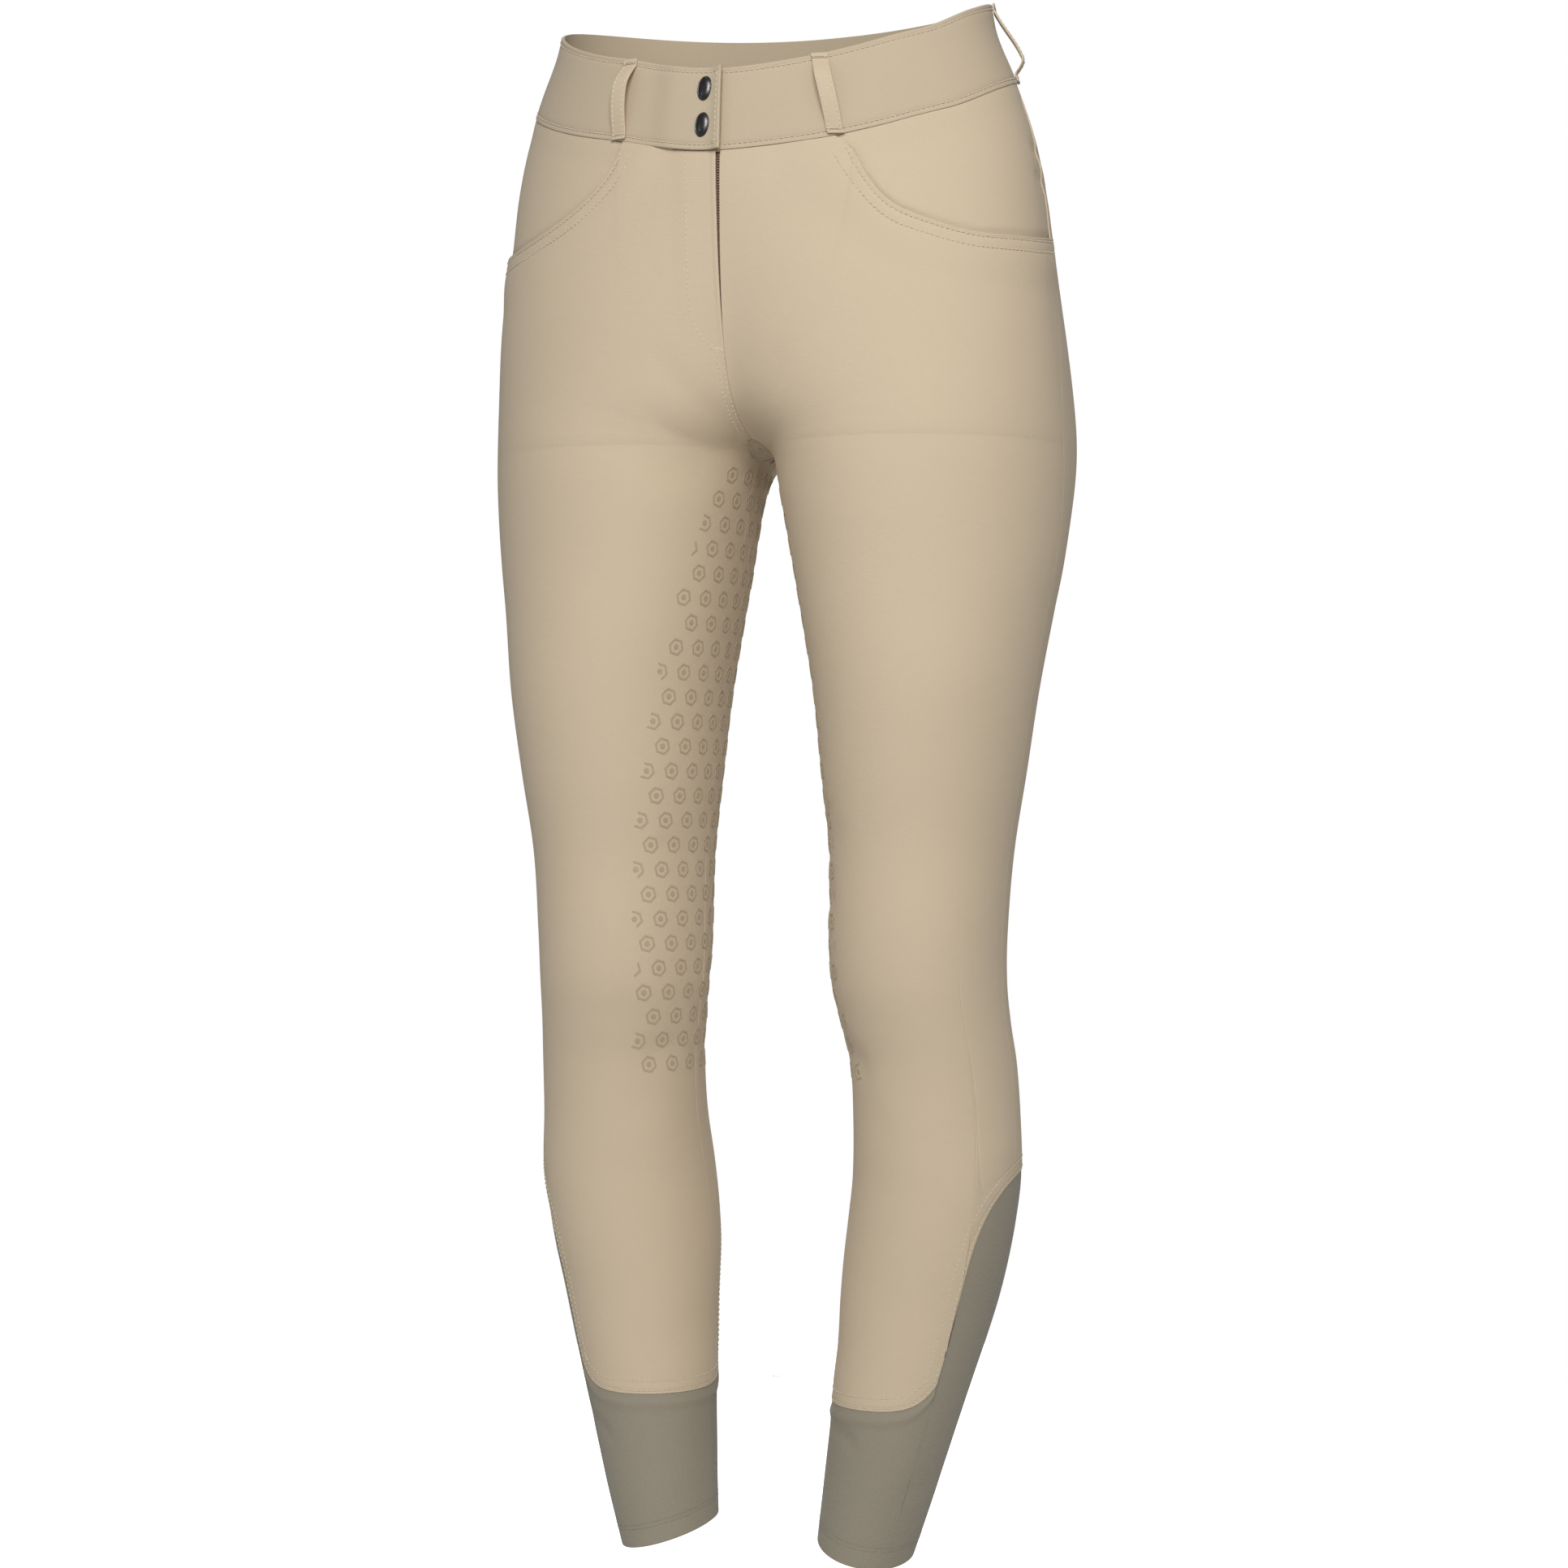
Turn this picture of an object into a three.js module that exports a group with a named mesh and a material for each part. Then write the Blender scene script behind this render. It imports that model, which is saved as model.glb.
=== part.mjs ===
// Riding breeches in stretch cloth, worn and filled out, hollow, open at the waist and at both hems.
// Millimetres. X points to the wearer's left, the front faces -Y and Z is up.
// The origin is the middle of the waist, level with the top edge of the waistband at the sides.
// "Left" and "right" in names are the wearer's.

import * as THREE from 'three';

// Driving sizes
const CLOTH_WALL = 1.2;
const CUFF_WALL = 1.0;
const BAND_WALL = 2.0;
const SEAM_GAP = 0.3;
const LAY_GAP = 0.4;

const BAND_HEIGHT = 50;
const BAND_LIFT = 0.6;
const WAIST_BACK_Z = 9;
const WAIST_DIP = 58;
const WAIST_DIP_POWER = 2.4;

const CROTCH_Z = -272;
const CROTCH_ROUNDING = 10;
const THIGH_BLEND = 24;
const THIGH_BLEND_REACH = 60;
const FRONT_FULLNESS = 0.04;

const SIDE_SEAM_BACKWARD = 0.08;
const SIDE_SEAM_LOW_Z = -270;
const SIDE_SEAM_HIGH_Z = -143;

const POCKET_START = -0.745;
const POCKET_LOWEST = -0.25;
const POCKET_DEPTH = 57;
const POCKET_END_RISE = 6.6;
const POCKET_STEP = 1.6;
const POCKET_STEP_FLAT = 13;
const POCKET_STEP_FADE = 22;
const POCKET_STEP_LOWEST_Z = -230;
const FACING_UNDERLAP = 8;
const FACING_UNDERLAP_ROUND = 0.05;
const FACING_SINK = 0.3;

const FLY_BOTTOM_Z = -212;
const FLY_GAP = 1.6;
const UNDERLAP_REACH = 0.06;
const UNDERLAP_GAP = 0.8;

const LAP_LIFT = BAND_WALL + LAY_GAP;
const LAP_END = 0.015;

const CUFF_SEAM_Z = -857;
const CUFF_SINK = 0.5;
const CUFF_EASE = 0.4;
const TONGUE_MIDDLE = 0.28;
const TONGUE_HALF_WIDTH = 0.515;
const TONGUE_FOOT = 16;
const TONGUE_RISE = 126;
const TONGUE_FLARE = 8.5;
const HEM_Z = -946;
const HEM_SLANT = 8;
const HEM_HIGHEST = 0.85;

const LOOP_WIDTH = 10;
const LOOP_WALL = 1.6;
const LOOP_TAB = 5;
const FRONT_LOOP = { round: -0.738, standOff: 6, upperBend: 0.35, lowerBend: 0.65 };
const SIDE_LOOP = { round: 0.12, standOff: 8, upperBend: 0.82, lowerBend: 0.18 };
const BACK_LOOP = { round: 1, standOff: 6.5, upperBend: 0.3, lowerBend: 0.3 };

const RIGHT_HITCH = 6.5;
const LEFT_DRAW = 0.02;
const LEFT_POCKET_DRAW = 0.04;
const LEFT_SINK = 1.6;

const SNAP_HEIGHT = 15;
const SNAP_WIDTH = 9.2;
const SNAP_DOME = 1.8;
const SNAP_TILT = THREE.MathUtils.degToRad(7);
const UPPER_SNAP = { round: -0.971, z: -62 };
const LOWER_SNAP = { round: -0.969, z: -84 };

// Cross-sections of one leg half, from the waist to the hem. Each row is one height z with the farthest
// point outward and inward (x), the foremost and rearmost point (y), the y of the widest line, how full
// the back is, and how far the widest line leans backward. Above the crotch the inward point is the
// place where the closed section would end if the other half weren't there.
const SECTIONS = [
  { z: 15, outer: 137, inner: -137, front: -95, back: 86, middle: -7, full: 0.05, lean: 0 },
  { z: -15, outer: 141.5, inner: -143, front: -97, back: 92, middle: -8, full: 0.05, lean: 0 },
  { z: -45, outer: 153.5, inner: -156, front: -99, back: 101, middle: -8, full: 0.05, lean: 0 },
  { z: -75, outer: 164, inner: -166, front: -102, back: 111, middle: -8, full: 0.08, lean: 0 },
  { z: -105, outer: 171, inner: -168, front: -104, back: 118, middle: -7, full: 0.1, lean: 0 },
  { z: -140, outer: 175, inner: -130, front: -103, back: 124, middle: -7, full: 0.14, lean: 0 },
  { z: -175, outer: 179, inner: -90, front: -102, back: 128, middle: -9, full: 0.18, lean: 0 },
  { z: -208, outer: 182, inner: -58, front: -101, back: 129, middle: -9, full: 0.22, lean: 2 },
  { z: -240, outer: 184, inner: -26, front: -100, back: 126, middle: -7, full: 0.25, lean: 5 },
  { z: -262, outer: 185, inner: 0, front: -99, back: 120, middle: -6, full: 0.25, lean: 7 },
  { z: -272, outer: 185.5, inner: 10, front: -99, back: 116, middle: -6, full: 0.24, lean: 8 },
  { z: -284, outer: 185.5, inner: 14, front: -98, back: 109, middle: -6, full: 0.2, lean: 9 },
  { z: -300, outer: 185, inner: 16.5, front: -98, back: 100, middle: -6, full: 0.15, lean: 9 },
  { z: -320, outer: 183.5, inner: 19, front: -96, back: 92, middle: -6, full: 0.1, lean: 8 },
  { z: -345, outer: 180.5, inner: 22, front: -94, back: 87, middle: -6, full: 0.06, lean: 6 },
  { z: -370, outer: 176.5, inner: 26, front: -93, back: 81, middle: -7.5, full: 0.04, lean: 4 },
  { z: -420, outer: 169.5, inner: 34, front: -91, back: 68, middle: -11.5, full: 0.04, lean: 0 },
  { z: -470, outer: 162.5, inner: 39, front: -85.5, back: 59.5, middle: -13, full: 0.04, lean: 0 },
  { z: -520, outer: 155, inner: 43.5, front: -79, back: 52, middle: -13.5, full: 0.04, lean: 0 },
  { z: -570, outer: 151.5, inner: 44, front: -78, back: 47, middle: -15, full: 0.04, lean: 0 },
  { z: -600, outer: 151, inner: 45.5, front: -75, back: 46, middle: -14, full: 0.04, lean: 0 },
  { z: -625, outer: 152, inner: 50, front: -68, back: 50, middle: -10, full: 0.04, lean: 0 },
  { z: -650, outer: 154, inner: 54, front: -61, back: 56, middle: -5, full: 0.04, lean: 0 },
  { z: -685, outer: 155, inner: 54.5, front: -56, back: 63, middle: -2, full: 0.04, lean: 0 },
  { z: -720, outer: 155.5, inner: 52, front: -53.5, back: 68.5, middle: 1, full: 0.04, lean: -3 },
  { z: -745, outer: 152.5, inner: 49, front: -53, back: 67, middle: 2, full: 0.04, lean: -3 },
  { z: -770, outer: 148, inner: 46.5, front: -52.5, back: 63.5, middle: 1, full: 0.04, lean: -2 },
  { z: -795, outer: 142, inner: 45.5, front: -52, back: 58, middle: -1, full: 0.04, lean: 0 },
  { z: -820, outer: 135, inner: 45, front: -52.5, back: 51, middle: -4, full: 0.04, lean: 0 },
  { z: -845, outer: 127.5, inner: 43, front: -53.5, back: 43.5, middle: -8, full: 0.04, lean: 0 },
  { z: -870, outer: 120, inner: 41.5, front: -55, back: 35.5, middle: -11, full: 0.04, lean: 0 },
  { z: -895, outer: 112.5, inner: 39.5, front: -56.5, back: 28.5, middle: -14, full: 0.04, lean: 0 },
  { z: -920, outer: 105, inner: 37.5, front: -58, back: 22, middle: -17, full: 0.04, lean: 0 },
  { z: -960, outer: 92, inner: 34, front: -59.5, back: 14, middle: -21, full: 0.04, lean: 0 },
];

// Places across a front panel, from the centre front or inseam (0) to the side seam (1)
const FRONT_COLUMNS = [0, 0.04, 0.1, 0.17, 0.236, 0.262, 0.295, 0.34, 0.41, 0.5, 0.6, 0.7,
  0.765, 0.779, 0.8, 0.84, 0.91, 1];
// Places across a back panel, from the side seam (0) to the centre back or inseam (1)
const BACK_COLUMNS = [0, 0.1, 0.2, 0.32, 0.44, 0.54, 0.64, 0.72, 0.76, 0.781, 0.795, 0.86, 0.93, 1];
// Heights of the rows below the pocket and above the cuff, close together round the crotch
const LEG_ROWS = [-200, -225, -244, -256, -263, -268, -271, CROTCH_Z, -273.5, -277, -284, -296,
  -315, -345, -382, -422, -462, -502, -542, -580, -612, -640, -670, -700];
const EDGE_ROWS = 4;

// Materials
const cloth = new THREE.MeshStandardMaterial({ name: 'beige cloth', color: 0xcab99f, roughness: 0.85 });
const facingCloth = new THREE.MeshStandardMaterial({ name: 'facing cloth', color: 0xcdbca2, roughness: 0.85 });
const jersey = new THREE.MeshStandardMaterial({ name: 'cuff jersey', color: 0x928b79, roughness: 0.9 });
const zipTape = new THREE.MeshStandardMaterial({ name: 'zip tape', color: 0x8a6a52, roughness: 0.8 });
const darkMetal = new THREE.MeshStandardMaterial({ name: 'dark metal', color: 0x4a4846, roughness: 0.35, metalness: 0.9 });

const clamp = (x, low, high) => Math.min(Math.max(x, low), high);
const mix = (a, b, t) => a + (b - a) * t;
const ease = (t) => {
  const s = clamp(t, 0, 1);
  return s * s * (3 - 2 * s);
};

// Value of one column of SECTIONS at height z, on a smooth curve through the rows
function section(column, z) {
  const last = SECTIONS.length - 1;
  const height = clamp(z, SECTIONS[last].z, SECTIONS[0].z);
  let i = 0;
  while (i < last - 1 && SECTIONS[i + 1].z > height) i += 1;
  const slope = (k) => {
    const a = SECTIONS[Math.max(k - 1, 0)];
    const b = SECTIONS[Math.min(k + 1, last)];
    return (b[column] - a[column]) / (b.z - a.z);
  };
  const step = SECTIONS[i + 1].z - SECTIONS[i].z;
  const t = (height - SECTIONS[i].z) / step;
  return SECTIONS[i][column] * (1 + 2 * t) * (1 - t) ** 2
    + SECTIONS[i + 1][column] * t * t * (3 - 2 * t)
    + step * slope(i) * t * (1 - t) ** 2
    - step * slope(i + 1) * t * t * (1 - t);
}

// How softly the two leg halves run into each other at height z
function joinRounding(z) {
  return CROTCH_ROUNDING * ease((-100 - z) / 80) * (1 - ease((-290 - z) / 110));
}

function sectionAt(z) {
  const outer = section('outer', z);
  const inner = section('inner', z);
  return {
    centre: (outer + inner) / 2,
    half: (outer - inner) / 2,
    front: section('front', z),
    back: section('back', z),
    middle: section('middle', z),
    full: section('full', z),
    lean: section('lean', z),
    join: joinRounding(z),
  };
}

// Point of the closed section at height z. The place round is -1 at the centre front or the inseam's
// front side, 0 at the outer side and 1 at the centre back or the inseam's back side.
function ringPoint(round, z) {
  const s = sectionAt(z);
  const reach = Math.acos(clamp((s.join - s.centre) / s.half, -1, 1));
  const sine = Math.sin(reach);
  const bend = s.join * sine / Math.max(s.join * Math.abs(Math.cos(reach)) + s.half * sine * sine, 1e-9);
  const away = 1 - Math.abs(round);
  const turn = Math.sqrt(bend * bend + away * away * (reach * reach + 2 * bend * reach)) - bend;
  const angle = reach - turn;
  const along = s.centre + s.half * Math.cos(angle);
  const depth = round > 0 ? s.back - s.middle : s.middle - s.front;
  const fullness = round > 0 ? s.full : FRONT_FULLNESS;
  const swell = 1 + fullness * Math.cos(angle) ** 2;
  return new THREE.Vector3(
    Math.sqrt(Math.max(along * along - s.join * s.join, 0)),
    s.middle + s.lean * Math.cos(angle) + Math.sign(round) * depth * Math.sin(angle) * swell,
    z,
  );
}

// Point of the cloth's outer face on the left half. Near the crotch, but away from the middle, it is a
// mean of the sections above and below, so that the thigh has no step there. A place past -1 or 1 lies
// on the other half.
function formPoint(round, z) {
  if (round < -1 || round > 1) {
    const other = formPoint(Math.sign(round) * 2 - round, z);
    other.x = -other.x;
    return other;
  }
  const fromCrotch = Math.abs(z - CROTCH_Z) / THIGH_BLEND_REACH;
  const reach = THIGH_BLEND * ease((0.9 - Math.abs(round)) / 0.35) * ease(1.6 - fromCrotch);
  const point = new THREE.Vector3();
  for (const [share, weight] of [[-1, 1], [-0.5, 2], [0, 2], [0.5, 2], [1, 1]]) {
    point.addScaledVector(ringPoint(round, z + share * reach), weight / 8);
  }
  point.z = z;
  return point;
}

// Below 0 inside the form, above 0 outside it
function formField(x, y, z) {
  const s = sectionAt(z);
  const across = (Math.sqrt(x * x + s.join * s.join) - s.centre) / s.half;
  const axis = s.middle + s.lean * across;
  const depth = y > axis ? s.back - s.middle : s.middle - s.front;
  const fullness = y > axis ? s.full : FRONT_FULLNESS;
  return ((y - axis) / (depth * (1 + fullness * across * across))) ** 2 + across * across - 1;
}

function formNormal(p) {
  const h = 0.05;
  return new THREE.Vector3(
    formField(p.x + h, p.y, p.z) - formField(p.x - h, p.y, p.z),
    formField(p.x, p.y + h, p.z) - formField(p.x, p.y - h, p.z),
    formField(p.x, p.y, p.z + h) - formField(p.x, p.y, p.z - h),
  ).normalize();
}

// Lines on the form, each a height for a place round
function waistTop(round) {
  const turned = (1 + Math.cos((1 + round) * Math.PI / 2)) / 2;
  return WAIST_BACK_Z - WAIST_DIP * turned ** WAIST_DIP_POWER;
}

const waistSeam = (round) => waistTop(round) - BAND_HEIGHT;

function pocketMouth(round) {
  const start = waistSeam(POCKET_START);
  if (round > POCKET_LOWEST) {
    const share = (round - POCKET_LOWEST) / (SIDE_SEAM_BACKWARD - POCKET_LOWEST);
    return start - POCKET_DEPTH + POCKET_END_RISE * share ** 2;
  }
  const share = clamp((POCKET_LOWEST - round) / (POCKET_LOWEST - POCKET_START), 0, 1);
  return start - POCKET_DEPTH * Math.sqrt(1 - share * share);
}

const frontTop = (round) => (round <= POCKET_START ? waistSeam(round) : pocketMouth(round));

function sideSeam(z) {
  return SIDE_SEAM_BACKWARD * ease((z - SIDE_SEAM_LOW_Z) / (SIDE_SEAM_HIGH_Z - SIDE_SEAM_LOW_Z));
}

function cuffSeam(round) {
  const straight = Math.abs(round - TONGUE_MIDDLE);
  const apart = Math.min(straight, 2 - straight) / TONGUE_HALF_WIDTH;
  if (apart >= 1) return CUFF_SEAM_Z + TONGUE_FOOT * Math.exp(-(apart - 1) * TONGUE_FLARE);
  return CUFF_SEAM_Z + TONGUE_FOOT + TONGUE_RISE * (1 - apart ** 4) ** 0.25;
}

const hemEdge = (round) => HEM_Z + HEM_SLANT * Math.cos((round - HEM_HIGHEST) * Math.PI);

const frontRound = (column, z) => mix(-1, sideSeam(z), column);
const backRound = (column, z) => mix(sideSeam(z), 1, column);

// Where the worn cloth has settled on the form: the right hip is hitched up, and on the left the front
// belt loop and the pocket's start are drawn backward and the pocket mouth sags a little
function settled({ round, z, lift }, mirrored) {
  if (round < -1 || round > 1) {
    const other = settled({ round: Math.sign(round) * 2 - round, z, lift }, !mirrored);
    return { ...other, round: Math.sign(round) * 2 - other.round };
  }
  if (mirrored) {
    const rise = ease((round + 1) / 0.3) * (1 - ease((round + 0.4) / 1.4)) * ease((z + 230) / 100);
    return { round, z: z + RIGHT_HITCH * rise, lift };
  }
  const aside = ease((round + 1) / 0.25) * (1 - ease((round + 0.7) / 0.4));
  const height = ease((-40 - z) / 55) * ease((z + 160) / 60);
  const pocket = ease((round + 0.86) / 0.12) * (1 - ease((round + 0.74) / 0.2));
  const pocketHeight = ease((-90 - z) / 14) * ease((z + 210) / 70);
  const sink = ease((round + 0.545) / 0.2) * (1 - ease((round + 0.4) / 0.25)) * ease((z + 230) / 100);
  return {
    round: round + LEFT_DRAW * aside * height + LEFT_POCKET_DRAW * pocket * pocketHeight,
    z: z - LEFT_SINK * sink,
    lift,
  };
}

// Shortest way on the form from a place to the pocket mouth, near enough for the step beside it
function wayToPocketMouth(round, z) {
  const here = formPoint(round, z);
  let nearest = Infinity;
  for (let k = 0; k <= 40; k += 1) {
    const at = mix(POCKET_START, SIDE_SEAM_BACKWARD, k / 40);
    nearest = Math.min(nearest, here.distanceTo(formPoint(at, pocketMouth(at))));
  }
  return nearest;
}

function pocketStep(round, z) {
  if (z < POCKET_STEP_LOWEST_Z) return 0;
  return POCKET_STEP * (1 - ease((wayToPocketMouth(round, z) - POCKET_STEP_FLAT) / POCKET_STEP_FADE));
}

// A grid of places on the form, each with its outer point, its normal and how far it is moved out
function layGrid(columns, rows, place) {
  return Array.from({ length: rows }, (_, row) => Array.from({ length: columns }, (_, column) => {
    const { round, z, lift } = place(column, row);
    const point = formPoint(round, z);
    const normal = formNormal(point);
    return { point: point.clone().addScaledVector(normal, lift), normal };
  }));
}

// Moves the edges of a grid back from the seam line, square to it and along the cloth
function trimEdges(grid, trims) {
  const rows = grid.length;
  const columns = grid[0].length;
  const shifts = grid.map((line) => line.map(() => new THREE.Vector3()));
  const shift = (row, column, before, after, way) => {
    const along = grid[after[0]][after[1]].point.clone().sub(grid[before[0]][before[1]].point);
    const inward = along.cross(grid[row][column].normal).normalize();
    shifts[row][column].addScaledVector(inward, way);
  };
  for (let r = 0; r < rows; r += 1) {
    const before = Math.max(r - 1, 0);
    const after = Math.min(r + 1, rows - 1);
    const end = columns - 1;
    if (trims.start) shift(r, 0, [before, 0], [after, 0], -trims.start(r));
    if (trims.end) shift(r, end, [before, end], [after, end], trims.end(r));
  }
  for (let c = 0; c < columns; c += 1) {
    const before = trims.ring && c === 0 ? columns - 2 : Math.max(c - 1, 0);
    const after = trims.ring && c === columns - 1 ? 1 : Math.min(c + 1, columns - 1);
    const end = rows - 1;
    if (trims.top) shift(0, c, [0, before], [0, after], trims.top(c));
    if (trims.bottom) shift(end, c, [end, before], [end, after], -trims.bottom(c));
  }
  grid.forEach((line, r) => line.forEach((cell, c) => cell.point.add(shifts[r][c])));
}

// A closed cloth wall: the grid is its outer face and the inner face lies a wall behind it. On a ring
// the last column is the first one again.
function wallGeometry(grid, wall, ring = false, mirrored = false) {
  const rows = grid.length;
  const columns = ring ? grid[0].length - 1 : grid[0].length;
  const positions = [];
  const side = mirrored ? -1 : 1;
  for (const depth of [0, wall]) {
    for (let r = 0; r < rows; r += 1) {
      for (let c = 0; c < columns; c += 1) {
        const { point, normal } = grid[r][c];
        const p = point.clone().addScaledVector(normal, -depth);
        positions.push(p.x * side, p.y, p.z);
      }
    }
  }
  const index = [];
  const inner = rows * columns;
  const id = (r, c) => r * columns + (c % columns);
  const quad = (a, b, c, d) => {
    if (mirrored) index.push(a, b, c, a, c, d);
    else index.push(a, c, b, a, d, c);
  };
  const spans = ring ? columns : columns - 1;
  for (let r = 0; r < rows - 1; r += 1) {
    for (let c = 0; c < spans; c += 1) {
      quad(id(r, c), id(r, c + 1), id(r + 1, c + 1), id(r + 1, c));
      quad(inner + id(r, c), inner + id(r + 1, c), inner + id(r + 1, c + 1), inner + id(r, c + 1));
    }
    if (!ring) {
      const end = columns - 1;
      quad(id(r, 0), id(r + 1, 0), inner + id(r + 1, 0), inner + id(r, 0));
      quad(id(r, end), inner + id(r, end), inner + id(r + 1, end), id(r + 1, end));
    }
  }
  for (let c = 0; c < spans; c += 1) {
    const end = rows - 1;
    quad(id(0, c), inner + id(0, c), inner + id(0, c + 1), id(0, c + 1));
    quad(id(end, c), id(end, c + 1), inner + id(end, c + 1), inner + id(end, c));
  }
  const geometry = new THREE.BufferGeometry();
  geometry.setAttribute('position', new THREE.Float32BufferAttribute(positions, 3));
  geometry.setIndex(index);
  geometry.computeVertexNormals();
  return geometry;
}

const breeches = new THREE.Group();

function addPiece(name, geometry, material) {
  const mesh = new THREE.Mesh(geometry, material);
  mesh.name = name;
  breeches.add(mesh);
  return mesh;
}

const halfGap = () => SEAM_GAP / 2;

// Front panels: from the waist seam or the pocket mouth down to the cuff. The edge of the left one is
// set back at the fly, so that the zip shows in a narrow opening.
function frontZ(column, row) {
  const share = FRONT_COLUMNS[column];
  const top = frontTop(mix(-1, SIDE_SEAM_BACKWARD, share));
  if (row < EDGE_ROWS) return mix(top, LEG_ROWS[0], row / EDGE_ROWS);
  const legRow = row - EDGE_ROWS;
  if (legRow < LEG_ROWS.length) return LEG_ROWS[legRow];
  const lowest = LEG_ROWS[LEG_ROWS.length - 1];
  const down = (legRow - LEG_ROWS.length + 1) / EDGE_ROWS;
  return mix(lowest, cuffSeam(mix(-1, 0, share)), down);
}

function flySetBack(z) {
  return FLY_GAP * clamp((z - FLY_BOTTOM_Z) / (waistSeam(-1) - FLY_BOTTOM_Z), 0, 1);
}

function addFront(name, mirrored) {
  const rows = LEG_ROWS.length + 2 * EDGE_ROWS;
  const place = (column, row) => {
    const z = frontZ(column, row);
    const round = frontRound(FRONT_COLUMNS[column], z);
    return settled({ round, z, lift: pocketStep(round, z) }, mirrored);
  };
  const grid = layGrid(FRONT_COLUMNS.length, rows, place);
  trimEdges(grid, {
    start: (row) => halfGap() + (mirrored ? 0 : flySetBack(frontZ(0, row))),
    end: halfGap,
    top: halfGap,
    bottom: halfGap,
  });
  addPiece(name, wallGeometry(grid, CLOTH_WALL, false, mirrored), cloth);
}

// Back panels: from the waist seam over the seat down to the cuff
function backZ(column, row) {
  const share = BACK_COLUMNS[column];
  const pocketEnd = pocketMouth(SIDE_SEAM_BACKWARD);
  if (row < EDGE_ROWS) return mix(waistSeam(mix(SIDE_SEAM_BACKWARD, 1, share)), pocketEnd, row / EDGE_ROWS);
  if (row < 2 * EDGE_ROWS) return mix(pocketEnd, LEG_ROWS[0], row / EDGE_ROWS - 1);
  const legRow = row - 2 * EDGE_ROWS;
  if (legRow < LEG_ROWS.length) return LEG_ROWS[legRow];
  const lowest = LEG_ROWS[LEG_ROWS.length - 1];
  return mix(lowest, cuffSeam(share), (legRow - LEG_ROWS.length + 1) / EDGE_ROWS);
}

function addBack(name, mirrored) {
  const rows = LEG_ROWS.length + 3 * EDGE_ROWS;
  const place = (column, row) => {
    const z = backZ(column, row);
    return settled({ round: backRound(BACK_COLUMNS[column], z), z, lift: 0 }, mirrored);
  };
  const grid = layGrid(BACK_COLUMNS.length, rows, place);
  trimEdges(grid, { start: halfGap, end: halfGap, top: halfGap, bottom: halfGap });
  addPiece(name, wallGeometry(grid, CLOTH_WALL, false, mirrored), cloth);
}

// Pocket facings: flush with the hip in the scooped mouth, running under the front panel's edge
function addFacing(name, mirrored) {
  const first = 3;
  const columns = FRONT_COLUMNS.length - first;
  const place = (column, row) => {
    const share = FRONT_COLUMNS[column + first];
    const round = mix(-1, SIDE_SEAM_BACKWARD, share);
    const lip = Math.min(pocketMouth(round), waistSeam(round));
    const under = pocketMouth(Math.min(round + FACING_UNDERLAP_ROUND, SIDE_SEAM_BACKWARD));
    const z = row > EDGE_ROWS
      ? Math.min(lip, under) - FACING_UNDERLAP
      : mix(waistSeam(round), lip, row / EDGE_ROWS);
    return settled({ round: frontRound(share, z), z, lift: -FACING_SINK }, mirrored);
  };
  const grid = layGrid(columns, EDGE_ROWS + 2, place);
  trimEdges(grid, { end: halfGap, top: halfGap });
  addPiece(name, wallGeometry(grid, CLOTH_WALL, false, mirrored), facingCloth);
}

// Fly underlap with the zip tape, behind the two front edges
function addUnderlap(name) {
  const columns = 5;
  const rows = 7;
  const place = (column, row) => ({
    round: -1 + mix(-UNDERLAP_REACH, UNDERLAP_REACH, column / (columns - 1)),
    z: mix(waistSeam(-1) - SEAM_GAP, FLY_BOTTOM_Z, row / (rows - 1)),
    lift: -CLOTH_WALL - UNDERLAP_GAP,
  });
  addPiece(name, wallGeometry(layGrid(columns, rows, place), CLOTH_WALL), zipTape);
}

// Waistband halves. The left one runs on past the centre front, and the end of the right one laps over it.
function addWaistband(name, mirrored) {
  const front = FRONT_COLUMNS.map((share) => mix(-1, SIDE_SEAM_BACKWARD, share));
  const back = BACK_COLUMNS.slice(1).map((share) => mix(SIDE_SEAM_BACKWARD, 1, share));
  const beyond = mirrored ? [-1 - LAP_END] : [-2 - front[2], -2 - front[1]];
  const rounds = [...beyond, ...front, ...back];
  const rows = 4;
  const place = (column, row) => {
    const round = rounds[column];
    const line = round < -1 ? -2 - round : round;
    const lap = mirrored ? 1 - ease((round - front[2]) / (front[3] - front[2])) : 0;
    const z = mix(waistTop(line), waistSeam(line), row / (rows - 1));
    return settled({ round, z, lift: BAND_LIFT + LAP_LIFT * lap }, mirrored);
  };
  const grid = layGrid(rounds.length, rows, place);
  trimEdges(grid, { end: halfGap, bottom: halfGap });
  addPiece(name, wallGeometry(grid, BAND_WALL, false, mirrored), cloth);
}

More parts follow.
